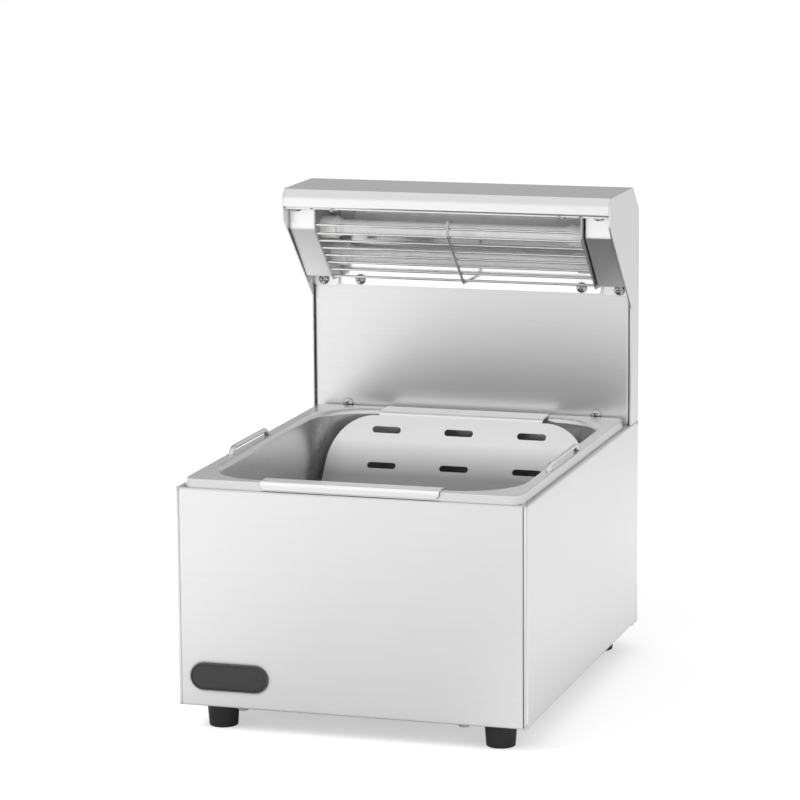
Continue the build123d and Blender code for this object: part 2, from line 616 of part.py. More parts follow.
def make_pan():
    """Pan of even sheet: bowl, flange with a round mouth, and a flared skirt."""
    pan = pan_bowl(PAN_SHEET)
    brim_width = PAN_WIDTH - 2 * PAN_FLARE
    brim_length = PAN_LENGTH - 2 * PAN_FLARE
    brim = extrude(pan_rectangle(brim_width, brim_length, PAN_OUTER_CORNER - PAN_FLARE,
                                 PAN_FLANGE_UNDER), amount=PAN_SHEET)
    pan += brim
    mouth_z = PAN_FLANGE_UNDER
    inner_half = PAN_INNER_WIDTH / 2 + PAN_SHEET
    under = [e for e in pan.edges() if abs(e.center().Z - mouth_z) < 0.05
             and e.bounding_box().max.X <= inner_half + 0.5
             and e.bounding_box().min.X >= -inner_half - 0.5
             and e.bounding_box().max.Y <= PAN_CENTRE_Y + PAN_INNER_LENGTH / 2 + PAN_SHEET + 0.5
             and e.bounding_box().min.Y >= PAN_CENTRE_Y - PAN_INNER_LENGTH / 2 - PAN_SHEET - 0.5]
    pan = fillet(under, PAN_MOUTH_RADIUS - PAN_SHEET)
    top_edge = pan.faces().sort_by(Axis.Z)[-1].outer_wire().edges()
    pan = fillet(top_edge, PAN_SHEET * 0.9)
    outer_top = pan_rectangle(brim_width, brim_length, PAN_OUTER_CORNER - PAN_FLARE, PAN_FLANGE_UNDER)
    outer_low = pan_rectangle(PAN_WIDTH, PAN_LENGTH, PAN_OUTER_CORNER, CASE_HEIGHT)
    inner_top = pan_rectangle(brim_width - 2 * PAN_SHEET, brim_length - 2 * PAN_SHEET,
                              PAN_OUTER_CORNER - PAN_FLARE - PAN_SHEET, PAN_FLANGE_UNDER)
    inner_low = pan_rectangle(PAN_WIDTH - 2 * PAN_SHEET, PAN_LENGTH - 2 * PAN_SHEET,
                              PAN_OUTER_CORNER - PAN_SHEET, CASE_HEIGHT)
    skirt = loft([outer_low, outer_top], ruled=True) - loft([inner_low, inner_top], ruled=True)
    pan += skirt
    pan -= pan_bowl(0.0)
    mouth = [e for e in pan.edges() if abs(e.center().Z - PAN_TOP) < 0.02
             and e.bounding_box().max.X <= PAN_INNER_WIDTH / 2 + 0.1
             and e.bounding_box().min.X >= -PAN_INNER_WIDTH / 2 - 0.1]
    pan = fillet(mouth, PAN_MOUTH_RADIUS)
    for x, y in bail_legs():
        pan -= bail_slot(x, y)
    return pan


def bail_slot(x, y):
    """Slot in the flange that the bent shoulder of a bail passes."""
    sink = PAN_TOP - (BAIL_TOP - BAIL_BEND)
    lean = math.asin(sink / BAIL_BEND)
    inward = BAIL_BEND * (1 - math.cos(lean)) + BAIL_WIRE_R / math.cos(lean) + BAIL_CLEARANCE
    radius = BAIL_WIRE_R + BAIL_CLEARANCE
    towards = 1 if y < BAIL_CENTRE_Y else -1
    length = radius + inward
    centre = y + towards * (inward - radius) / 2
    slot = extrude(SlotOverall(length, 2 * radius, rotation=90), amount=3 * PAN_SHEET)
    return Pos(x, centre, PAN_TOP - 2 * PAN_SHEET) * slot


def make_bail():
    """Right lifting bail: a bent wire with a stop on the end of each leg."""
    low = PAN_FLANGE_UNDER - BAIL_TRAVEL - BAIL_CLEARANCE - BAIL_STOP_HEIGHT
    front = BAIL_CENTRE_Y - BAIL_SPAN / 2
    rear = BAIL_CENTRE_Y + BAIL_SPAN / 2
    path = FilletPolyline((BAIL_X, front, low), (BAIL_X, front, BAIL_TOP),
                          (BAIL_X, rear, BAIL_TOP), (BAIL_X, rear, low), radius=BAIL_BEND)
    bail = sweep(Plane(path @ 0, z_dir=path % 0) * Circle(BAIL_WIRE_R), path)
    for y in (front, rear):
        bail += rod_z(BAIL_X, y, BAIL_STOP_R, low, low + BAIL_STOP_HEIGHT)
    return bail


def arc_point(angle, radius):
    """Point of the insert's arc, with the angle counted down from the rear horizon."""
    turn = math.radians(angle)
    return (INSERT_CENTRE_Y + radius * math.cos(turn), INSERT_ARC_Z - radius * math.sin(turn))


def make_insert_section():
    """Side section of the insert: two lips, the front face and the arc between them."""
    under = PAN_TOP
    top = under + INSERT_SHEET
    inner = INSERT_RADIUS - INSERT_SHEET
    reach_out = math.sqrt(INSERT_RADIUS ** 2 - INSERT_RISE ** 2)
    reach_in = math.sqrt(inner ** 2 - (INSERT_RISE - INSERT_SHEET) ** 2)
    face_out = PAN_FRONT - INSERT_SHEET
    rear_end = INSERT_CENTRE_Y + reach_out + INSERT_REAR_LIP
    low = top - INSERT_SHEET - INSERT_FACE_DROP
    outline = [
        Line((face_out, low), (face_out, top)),
        Line((face_out, top), (INSERT_CENTRE_Y - reach_in, top)),
        ThreePointArc((INSERT_CENTRE_Y - reach_in, top), (INSERT_CENTRE_Y, INSERT_ARC_Z - inner),
                      (INSERT_CENTRE_Y + reach_in, top)),
        Line((INSERT_CENTRE_Y + reach_in, top), (rear_end, top)),
        Line((rear_end, top), (rear_end, under)),
        Line((rear_end, under), (INSERT_CENTRE_Y + reach_out, under)),
        ThreePointArc((INSERT_CENTRE_Y + reach_out, under), (INSERT_CENTRE_Y, INSERT_ARC_Z - INSERT_RADIUS),
                      (INSERT_CENTRE_Y - reach_out, under)),
        Line((INSERT_CENTRE_Y - reach_out, under), (PAN_FRONT, under)),
        Line((PAN_FRONT, under), (PAN_FRONT, low)),
        Line((PAN_FRONT, low), (face_out, low)),
    ]
    return make_face(outline)


def round_section(section, spots):
    """Round the section's corners that lie nearest to each (y, z, radius)."""
    for y, z, radius in spots:
        corner = section.vertices().sort_by_distance((y, z, 0))[0]
        section = fillet(corner, radius)
    return section


def insert_width(shoulder, low, start, end):
    """Full width of the cradle below its round shoulders, between two places along Y."""
    shoulder_top = PAN_TOP - INSERT_SHOULDER_DROP
    wide = Pos(0, (low + shoulder_top) / 2) * Rectangle(2 * INSERT_HALF_WIDTH, shoulder_top - low)
    wide = fillet(wide.vertices().group_by(Axis.Y)[-1], shoulder)
    return extrude(Plane.XZ.offset(-end) * wide, amount=end - start)


def make_chip_insert():
    """Slotted cradle sheet that hangs in the pan by its two lips."""
    inner = INSERT_RADIUS - INSERT_SHEET
    top = PAN_TOP + INSERT_SHEET
    reach_out = math.sqrt(INSERT_RADIUS ** 2 - INSERT_RISE ** 2)
    reach_in = math.sqrt(inner ** 2 - (INSERT_RISE - INSERT_SHEET) ** 2)
    thick = INSERT_BEND + INSERT_SHEET
    section = round_section(make_insert_section(), [
        (PAN_FRONT - INSERT_SHEET, top, INSERT_SHEET + 0.3),
        (PAN_FRONT, PAN_TOP, 0.3),
        (INSERT_CENTRE_Y - reach_in, top, thick),
        (INSERT_CENTRE_Y + reach_in, top, thick),
        (INSERT_CENTRE_Y - reach_out, PAN_TOP, INSERT_BEND),
        (INSERT_CENTRE_Y + reach_out, PAN_TOP, INSERT_BEND),
    ])
    width = 2 * INSERT_HALF_WIDTH
    sheet = extrude(Plane.YZ.offset(-INSERT_HALF_WIDTH) * section, amount=width)
    low = INSERT_ARC_Z - INSERT_RADIUS - 5
    rim = PAN_FRONT + PAN_FLANGE / 2
    rear_end = INSERT_CENTRE_Y + reach_out + INSERT_REAR_LIP
    mask = insert_width(INSERT_REAR_SHOULDER, low, INSERT_CENTRE_Y, rear_end)
    mask += insert_width(INSERT_FRONT_SHOULDER, low, rim, INSERT_CENTRE_Y)
    lip = INSERT_LIP_HALF_WIDTH
    mask += block(-lip, lip, 0, rear_end + OVER, low + 5 * SLOT_WIDTH, top + OVER)
    sheet = sheet & mask
    face_low = PAN_TOP - INSERT_FACE_DROP
    face_edges = [e for e in sheet.edges().filter_by(Axis.Y)
                  if abs(e.center().Z - face_low) < 0.1 and e.center().Y < PAN_FRONT + 1]
    sheet = fillet(face_edges, INSERT_FACE_CORNER)
    slot = extrude(SlotOverall(SLOT_LENGTH, SLOT_WIDTH), amount=4 * INSERT_SHEET, both=True)
    step = (180 - 2 * SLOT_FIRST_ANGLE) / (SLOT_ROWS - 1)
    for row in range(SLOT_ROWS):
        angle = SLOT_FIRST_ANGLE + row * step
        y, z = arc_point(angle, INSERT_RADIUS)
        for column in (-1, 0, 1):
            sheet -= Pos(column * SLOT_PITCH_X, y, z) * Rot(90 - angle, 0, 0) * slot
    return sheet


# ---------------------------------------------------------------- column and hood
def make_cheek():
    """Right cheek of the column and hood."""
    rear_low = SHEET * 2
    points = [(COLUMN_FRONT, CASE_HEIGHT), (COLUMN_FRONT, HOOD_SLOPE_LOW), (HOOD_FRONT, HOOD_SLOPE_HIGH),
              (HOOD_FRONT, FASCIA_BEND_Z), (HOOD_FRONT + FASCIA_CHAMFER, HOOD_TOP),
              (REAR_FACE - REAR_CHAMFER_Y, HOOD_TOP), (REAR_FACE, HOOD_TOP - REAR_CHAMFER_Z),
              (REAR_FACE, CASE_HEIGHT + rear_low), (REAR_FACE - rear_low, CASE_HEIGHT + rear_low),
              (REAR_FACE - rear_low, CASE_HEIGHT)]
    radii = [0, 3.0, HOOD_SLOPE_BEND, BEND_OUT, BEND_OUT, BEND_OUT, BEND_OUT, 0, 0, 0]
    outline = FilletPolyline(*points, radius=radii, close=True)
    return extrude(Plane.YZ.offset(CHEEK_INNER) * make_face(outline), amount=SHEET)


def make_hood_cover():
    """Rear lap, top, fascia and return flange of the hood in one bent sheet."""
    points = [(REAR_FACE, HOOD_LAP_Z), (REAR_FACE, HOOD_TOP - REAR_CHAMFER_Z),
              (REAR_FACE - REAR_CHAMFER_Y, HOOD_TOP), (HOOD_FRONT + FASCIA_CHAMFER, HOOD_TOP),
              (HOOD_FRONT, FASCIA_BEND_Z), (HOOD_FRONT, FASCIA_BOTTOM),
              (HOOD_FRONT + HOOD_RETURN, FASCIA_BOTTOM)]
    hood = bent_sheet(Plane.YZ, points, -HOOD_HALF, HOOD_HALF)
    hood = drill_y(hood, LAP_SCREWS, REAR_FACE - 2 * SHEET, REAR_FACE + OVER)
    spots = [(sx * REFLECTOR_SCREW_X, REFLECTOR_SCREW_Y) for sx in (-1, 1)]
    spots += [(sx * COVER_SCREW_X, COVER_SCREW_Y) for sx in (-1, 1)]
    return drill_z(hood, spots, FASCIA_BOTTOM - OVER, FASCIA_BOTTOM + SHEET + OVER)


def make_column_back():
    """Rear sheet of the column, with side flanges and a joggled strip behind the hood's lap."""
    face = REAR_FACE
    points = [(HOOD_HALF, face - LAP_FLANGE), (HOOD_HALF, face), (-HOOD_HALF, face),
              (-HOOD_HALF, face - LAP_FLANGE)]
    back = bent_sheet(Plane.XY, points, CASE_HEIGHT, HOOD_LAP_Z - SHEET / 4)
    half = HOOD_HALF - LAP_FLANGE + 2 * SHEET
    back += block(-half, half, face - 2 * SHEET, face - SHEET,
                  HOOD_LAP_Z - HOOD_LAP_STRIP, HOOD_LAP_Z + HOOD_LAP_STRIP)
    return drill_y(back, LAP_SCREWS, face - 3 * SHEET, face + OVER)


def make_splash_panel():
    """Inner face of the column with its side flanges turned to the rear."""
    points = [(SPLASH_HALF, SPLASH_Y + SPLASH_FLANGE), (SPLASH_HALF, SPLASH_Y),
              (-SPLASH_HALF, SPLASH_Y), (-SPLASH_HALF, SPLASH_Y + SPLASH_FLANGE)]
    panel = bent_sheet(Plane.XY, list(reversed(points)), CASE_HEIGHT, SPLASH_TOP)
    spots = [(sx * SPLASH_SCREW_X, SPLASH_SCREW_Z) for sx in (-1, 1)]
    spots += [(sx * REFLECTOR_SCREW_X, REFLECTOR_SCREW_Z) for sx in (-1, 1)]
    spots += [(sx * COVER_SCREW_X, COVER_SCREW_Z) for sx in (-1, 1)]
    panel = drill_y(panel, spots, SPLASH_Y - OVER, SPLASH_BACK + OVER)
    wires = [(sx * LEAD_X, tube[1]) for sx in (-1, 1) for tube in (UPPER_TUBE, LOWER_TUBE)]
    return drill_y(panel, wires, SPLASH_Y - OVER, SPLASH_BACK + OVER, WIRE_R + 1.0)


# ---------------------------------------------------------------- lamp unit
def make_reflector():
    """Polished sheet behind the tubes: foot on the splash panel, slope, and top flange."""
    back = SPLASH_Y - REFLECTOR_SHEET
    slope_sum = (sum(UPPER_TUBE) + sum(LOWER_TUBE)) / 2 + REFLECTOR_STANDOFF * math.sqrt(2)
    under = FASCIA_BOTTOM - REFLECTOR_SHEET
    points = [(REFLECTOR_FRONT, under), (slope_sum - under, under), (back, slope_sum - back),
              (back, REFLECTOR_BOTTOM)]
    sheet = bent_sheet(Plane.YZ, points, -REFLECTOR_HALF, REFLECTOR_HALF, REFLECTOR_SHEET, REFLECTOR_BEND)
    corners = [e for e in sheet.edges().filter_by(Axis.Y) if abs(e.center().Z - REFLECTOR_BOTTOM) < 0.1]
    sheet = fillet(corners, REFLECTOR_CORNER)
    low = [(sx * REFLECTOR_SCREW_X, REFLECTOR_SCREW_Z) for sx in (-1, 1)]
    high = [(sx * REFLECTOR_SCREW_X, REFLECTOR_SCREW_Y) for sx in (-1, 1)]
    sheet = drill_y(sheet, low, back - OVER, SPLASH_Y + OVER)
    return drill_z(sheet, high, under - OVER, FASCIA_BOTTOM + OVER)


def guard_edge(index):
    """Point of the end plate's front edge beside a wire of the slope."""
    y, z = GUARD_WIRES[1 + index]
    reach = GUARD_WIRE_R + GUARD_EDGE
    return (y + GUARD_OUT[0] * reach, z + GUARD_OUT[1] * reach)


def make_end_plate():
    """Right end plate: carries the tubes' caps and the guard's wires."""
    y0, z0 = guard_edge(0)
    rate = GUARD_RATE
    points = [(END_PLATE_FRONT, FASCIA_BOTTOM), (END_PLATE_FRONT, z0 + rate * (END_PLATE_FRONT - y0)),
              (y0 + (END_PLATE_BOTTOM - z0) / rate, END_PLATE_BOTTOM), (SPLASH_Y, END_PLATE_BOTTOM),
              (SPLASH_Y, FASCIA_BOTTOM - 5 * SHEET), (HOOD_FRONT + HOOD_RETURN, FASCIA_BOTTOM)]
    outline = FilletPolyline(*points, radius=[0, 2.0, 2.0, 0, 0, 0], close=True)
    plate = extrude(Plane.YZ.offset(END_PLATE_X) * make_face(outline), amount=END_PLATE_SHEET)
    for y, z in (UPPER_TUBE, LOWER_TUBE):
        plate -= rod_x(y, z, CAP_BOSS_R + 0.1, END_PLATE_X - OVER, END_PLATE_X + END_PLATE_SHEET + OVER)
    return plate


def make_lamp_cover():
    """Right end cover of the lamp unit, one bent sheet between end plate and cheek."""
    under = FASCIA_BOTTOM - SHEET
    points = [(LAMP_COVER_FACE - LAMP_COVER_TOP, under), (LAMP_COVER_FACE, under),
              (LAMP_COVER_FACE, LAMP_COVER_BEND_Z), (LAMP_COVER_LOW_Y, LAMP_COVER_LOW_Z),
              (SPLASH_Y - SHEET, LAMP_COVER_LOW_Z), (SPLASH_Y - SHEET, LAMP_COVER_LOW_Z - LAMP_COVER_HEM)]
    cover = bent_sheet(Plane.YZ, points, LAMP_COVER_X, HOOD_HALF)
    hem = LAMP_COVER_LOW_Z - LAMP_COVER_HEM
    corners = [e for e in cover.edges().filter_by(Axis.Y) if abs(e.center().Z - hem) < 0.1]
    cover = fillet(corners, LAMP_COVER_CORNER)
    cover = drill_y(cover, [(COVER_SCREW_X, COVER_SCREW_Z)], SPLASH_Y - 2 * SHEET, SPLASH_Y + OVER)
    return drill_z(cover, [(COVER_SCREW_X, COVER_SCREW_Y)], under - OVER, FASCIA_BOTTOM + OVER)


def make_quartz_tube(axis):
    """Quartz tube between its two caps."""
    half = CAP_INNER_X + TUBE_SEAT
    y, z = axis
    return rod_x(y, z, TUBE_R, -half, half) - rod_x(y, z, TUBE_R - TUBE_WALL, -half - OVER, half + OVER)


def make_heating_coil(axis):
    """Envelope of the close-wound heating coil in a tube."""
    half = CAP_INNER_X + TUBE_SEAT - 0.1
    y, z = axis
    return rod_x(y, z, COIL_R, -half, half) - rod_x(y, z, COIL_R - 0.8, -half - OVER, half + OVER)


def make_cap(axis):
    """Right ceramic cap of a tube, with the boss that sits in the end plate."""
    y, z = axis
    cap = rod_x(y, z, CAP_R, CAP_INNER_X, END_PLATE_X)
    cap = fillet(cap.edges().filter_by(GeomType.CIRCLE).sort_by(Axis.X)[0], 0.8)
    cap += rod_x(y, z, CAP_COLLAR_R, CAP_INNER_X - CAP_COLLAR, CAP_INNER_X + OVER)
    cap += rod_x(y, z, CAP_BOSS_R, END_PLATE_X - OVER, END_PLATE_X + CAP_BOSS_OUT)
    seat = CAP_INNER_X + TUBE_SEAT + 0.1
    return cap - rod_x(y, z, TUBE_R + 0.05, CAP_INNER_X - CAP_COLLAR - OVER, seat)


def make_wire_guard():
    """Eight straight wires from end plate to end plate."""
    return [rod_x(y, z, GUARD_WIRE_R, -END_PLATE_X, END_PLATE_X) for y, z in GUARD_WIRES]


def make_guard_support():
    """Bent wire in front of the guard's wires, from above them back to the reflector's foot."""
    offset = 2 * GUARD_WIRE_R + SUPPORT_GAP
    y_top = GUARD_WIRES[0][0] - offset
    z_low = GUARD_WIRES[-1][1] - offset
    y_first = GUARD_WIRES[1][0] + GUARD_OUT[0] * offset
    z_first = GUARD_WIRES[1][1] + GUARD_OUT[1] * offset
    z_knee = z_first + GUARD_RATE * (y_top - y_first)
    y_low = y_first + (z_low - z_first) / GUARD_RATE
    points = [(SUPPORT_X, y_top, SUPPORT_TOP), (SUPPORT_X, y_top, z_knee), (SUPPORT_X, y_low, z_low),
              (SUPPORT_X, SPLASH_Y - REFLECTOR_SHEET, z_low)]
    path = FilletPolyline(*points, radius=SUPPORT_BEND)
    return sweep(Plane(path @ 0, z_dir=path % 0) * Circle(GUARD_WIRE_R), path)


# ---------------------------------------------------------------- rear fittings and wiring
def make_switch_housing():
    """Snap-in body of the rocker switch with its bezel and two tabs."""
    centre = Pos(SWITCH_X, REAR_FACE, SWITCH_Z)
    bezel = extrude(Plane.XZ * RectangleRounded(SWITCH_BEZEL_X, SWITCH_BEZEL_Z, SWITCH_CORNER),
                    amount=-SWITCH_BEZEL)
    bezel = fillet(bezel.edges().group_by(Axis.Y)[-1], 0.6)
    body_x = SWITCH_BEZEL_X - SWITCH_RIM - 0.4
    body_z = SWITCH_BEZEL_Z - SWITCH_RIM - 0.4
    body = Pos(0, -SWITCH_BODY_DEPTH / 2, 0) * Box(body_x, SWITCH_BODY_DEPTH, body_z)
    cavity_depth = SWITCH_BODY_DEPTH - 3 * SWITCH_WALL + SWITCH_BEZEL + 1
    cavity = Box(body_x - 2 * SWITCH_WALL, cavity_depth, body_z - 2 * SWITCH_WALL)
    housing = bezel + body - Pos(0, SWITCH_BEZEL + 1 - cavity_depth / 2, 0) * cavity
    pivot = SWITCH_BEZEL - ROCKER_PIVOT_DEPTH
    housing -= rod_x(pivot, 0, ROCKER_PIN_R + ROCKER_PIN_CLEARANCE, -body_x / 2, body_x / 2)
    for z in (-SWITCH_TAB, SWITCH_TAB):
        housing += block(-2.4, 2.4, -SWITCH_BODY_DEPTH - SWITCH_TAB, -SWITCH_BODY_DEPTH, z - 0.4, z + 0.4)
    return centre * housing


def make_switch_rocker():
    """Rocker on its two pins, resting in its off position."""
    body_x = SWITCH_BEZEL_X - SWITCH_RIM - 0.4
    body_z = SWITCH_BEZEL_Z - SWITCH_RIM - 0.4
    half = body_x / 2 - SWITCH_WALL - ROCKER_CLEARANCE
    radius = body_z / 2 - SWITCH_WALL - ROCKER_CLEARANCE
    crown = ROCKER_VALLEY + ROCKER_RISE
    top = Polyline((-ROCKER_BELOW, -radius - OVER), (crown, -radius - OVER), (ROCKER_VALLEY, 0),
                   (crown, radius + OVER), (-ROCKER_BELOW, radius + OVER), close=True)
    section = Circle(radius) & make_face(top)
    rocker = extrude(Plane.YZ.offset(-half) * section, amount=2 * half)
    pin = body_x / 2 - 0.1
    rocker += rod_x(0, 0, ROCKER_PIN_R, -pin, pin)
    return Pos(SWITCH_X, SWITCH_PIVOT_Y, SWITCH_Z) * Rot(ROCKER_ANGLE, 0, 0) * rocker


def make_cable_gland():
    """Inlet bush: hexagon and dome outside, threaded tail inside, clear bore."""
    hexagon = extrude(Plane.XZ * RegularPolygon(GLAND_HEX, 6, major_radius=False), amount=-GLAND_HEX_LENGTH)
    dome = rod_y(0, 0, GLAND_DOME_R, GLAND_HEX_LENGTH - 0.5, GLAND_HEX_LENGTH + GLAND_DOME_LENGTH)
    dome = fillet(dome.edges().filter_by(GeomType.CIRCLE).sort_by(Axis.Y)[-1], 2.5)
    tail = rod_y(0, 0, GLAND_THREAD_R, -GLAND_TAIL, 0.5)
    gland = hexagon + dome + tail - rod_y(0, 0, GLAND_BORE_R, -GLAND_TAIL - OVER, REAR_REACH + OVER)
    return Pos(GLAND_X, REAR_FACE, GLAND_Z) * gland


def make_gland_nut():
    """Nut on the gland's tail, against the inside of the rear panel."""
    nut = extrude(Plane.XZ * RegularPolygon(GLAND_HEX, 6, major_radius=False), amount=GLAND_NUT_LENGTH)
    nut -= rod_y(0, 0, GLAND_THREAD_R + GLAND_CLEARANCE, -GLAND_NUT_LENGTH - OVER, 1)
    return Pos(GLAND_X, REAR_FACE - SHEET, GLAND_Z) * nut


def make_terminal_block():
    """Three-pole terminal block on the base plate."""
    body = block(-BLOCK_WIDTH / 2, BLOCK_WIDTH / 2, BLOCK_Y - BLOCK_DEPTH / 2, BLOCK_Y + BLOCK_DEPTH / 2,
                 BASE_TOP, BASE_TOP + BLOCK_HEIGHT)
    for i in range(BLOCK_POLES):
        x = (i - (BLOCK_POLES - 1) / 2) * BLOCK_WIDTH / BLOCK_POLES
        body -= rod_z(x, BLOCK_Y - BLOCK_DEPTH / 4, BLOCK_POLE_R, BASE_TOP + BLOCK_HEIGHT / 2,
                      BASE_TOP + BLOCK_HEIGHT + OVER)
    return body


def make_earth_stud():
    """Earth stud through the base plate, with its nut as one piece."""
    stud = rod_z(EARTH_X, BLOCK_Y, EARTH_R, BASE_TOP - SHEET, BASE_TOP + EARTH_HEIGHT)
    nut = extrude(RegularPolygon(FOOT_NUT_R, 6), amount=FOOT_NUT_HEIGHT)
    return stud + Pos(EARTH_X, BLOCK_Y, BASE_TOP) * nut


def wire_along(points, bend):
    """Insulated wire along straight runs with round bends."""
    path = FilletPolyline(*points, radius=bend)
    return sweep(Plane(path @ 0, z_dir=path % 0) * Circle(WIRE_R), path)


def make_lamp_wiring():
    """Two wires from the block to each end of the lamp unit."""
    block_top = BASE_TOP + BLOCK_HEIGHT
    plug = END_PLATE_X + CAP_BOSS_OUT
    wires = []
    for side in (-1, 1):
        for i, (y, z) in enumerate((UPPER_TUBE, LOWER_TUBE)):
            x = side * WIRE_LANE * (0.5 + i)
            wires.append(wire_along([(x, WIRE_Y, block_top), (x, WIRE_Y, z), (side * LEAD_X, WIRE_Y, z),
                                     (side * LEAD_X, y, z), (side * plug, y, z)], WIRE_BEND))
    return wires


def make_switch_wiring():
    """Two wires from the switch's tabs to the side of the terminal block."""
    tab_y = REAR_FACE - SWITCH_BODY_DEPTH - SWITCH_TAB
    lane_y = SHIELD_Y + SHEET + 2 * WIRE_R
    wires = []
    for i, tab in enumerate((SWITCH_TAB, -SWITCH_TAB)):
        x = -LINK_X - i * LINK_LANE
        z = BASE_TOP + BLOCK_HEIGHT - (i + 0.5) * LINK_LANE
        wires.append(wire_along([(SWITCH_X, tab_y, SWITCH_Z + tab), (SWITCH_X, lane_y, SWITCH_Z + tab),
                                 (x, lane_y, SWITCH_Z + tab), (x, lane_y, z), (x, BLOCK_Y, z),
                                 (-BLOCK_WIDTH / 2, BLOCK_Y, z)], LINK_BEND))
    return wires


# ---------------------------------------------------------------- build
def make_parts():
    """Every node by name: one solid, or a list of like solids."""
    parts = {
        "front_panel": make_front_panel(),
        "rear_panel": make_rear_panel(),
        "base_plate": make_base_plate(),
        "well_frame": make_well_frame(),
        "rear_deck": make_rear_deck(),
        "wiring_shield": make_wiring_shield(),
        "badge": make_badge(),
        "pan": make_pan(),
        "chip_insert": make_chip_insert(),
        "hood_cover": make_hood_cover(),
        "column_back": make_column_back(),
        "splash_panel": make_splash_panel(),
        "reflector": make_reflector(),
        "wire_guard": make_wire_guard(),
        "guard_support": make_guard_support(),
        "switch_housing": make_switch_housing(),
        "switch_rocker": make_switch_rocker(),
        "cable_gland": make_cable_gland(),
        "gland_nut": make_gland_nut(),
        "terminal_block": make_terminal_block(),
        "earth_stud": make_earth_stud(),
        "lamp_wiring": make_lamp_wiring(),
        "switch_wiring": make_switch_wiring(),
    }
    for name, shape in (("side_panel", make_side_panel()), ("cheek", make_cheek()),
                        ("end_plate", make_end_plate()), ("lamp_cover", make_lamp_cover())):
        for side, piece in both_sides(shape).items():
            parts[side + "_" + name] = piece
    for side, piece in both_sides(make_bail()).items():
        parts["bail_" + side] = piece
    for level, axis in (("upper", UPPER_TUBE), ("lower", LOWER_TUBE)):
        parts[level + "_quartz_tube"] = make_quartz_tube(axis)
        parts[level + "_heating_coil"] = make_heating_coil(axis)
        for side, piece in both_sides(make_cap(axis)).items():
            parts[level + "_" + side + "_tube_cap"] = piece
    foot = make_foot()
    for name, (sx, y) in zip(FOOT_NAMES, FEET):
        parts[name] = Pos(sx * FOOT_X, y, 0) * foot
    foot_screw = make_foot_screw()
    foot_nut = make_foot_nut()
    parts["foot_screws"] = [Pos(sx * FOOT_X, y, 0) * foot_screw for sx, y in FEET]
    parts["foot_nuts"] = [Pos(sx * FOOT_X, y, 0) * foot_nut for sx, y in FEET]
    parts["base_screws"] = [screw_up(x, y, 0) for x, y in BASE_END_SCREWS + BASE_SIDE_SCREWS]
    parts["splash_screws"] = [screw_back(sx * SPLASH_SCREW_X, SPLASH_Y, SPLASH_SCREW_Z) for sx in (-1, 1)]
    low = [screw_back(sx * REFLECTOR_SCREW_X, SPLASH_Y - REFLECTOR_SHEET, REFLECTOR_SCREW_Z)
           for sx in (-1, 1)]
    high = [screw_up(sx * REFLECTOR_SCREW_X, REFLECTOR_SCREW_Y, FASCIA_BOTTOM - REFLECTOR_SHEET)
            for sx in (-1, 1)]
    parts["reflector_screws"] = low + high
    low = [screw_back(sx * COVER_SCREW_X, SPLASH_Y - SHEET, COVER_SCREW_Z) for sx in (-1, 1)]
    high = [screw_up(sx * COVER_SCREW_X, COVER_SCREW_Y, FASCIA_BOTTOM - SHEET) for sx in (-1, 1)]
    parts["lamp_cover_screws"] = low + high
    parts["rear_screws"] = [screw_forward(x, REAR_FACE, z) for x, z in LAP_SCREWS + REAR_SCREWS]
    return parts


def main():
    os.makedirs("parts", exist_ok=True)
    for name, shape in make_parts().items():
        if isinstance(shape, list):
            solids = [solid for piece in shape for solid in piece.solids()]
        else:
            solids = list(shape.solids())
        moved = [place(solid) for solid in solids]
        export_step(moved[0] if len(moved) == 1 else Compound(children=moved), "parts/" + name + ".step")


main()
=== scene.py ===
"""Looks of a counter-top chip warmer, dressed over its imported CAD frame."""

import itertools
import json
import logging
import math
from collections.abc import Sequence
from dataclasses import dataclass
from enum import Enum
from typing import ClassVar, Protocol

import bmesh
import bpy
from mathutils import Matrix, Vector

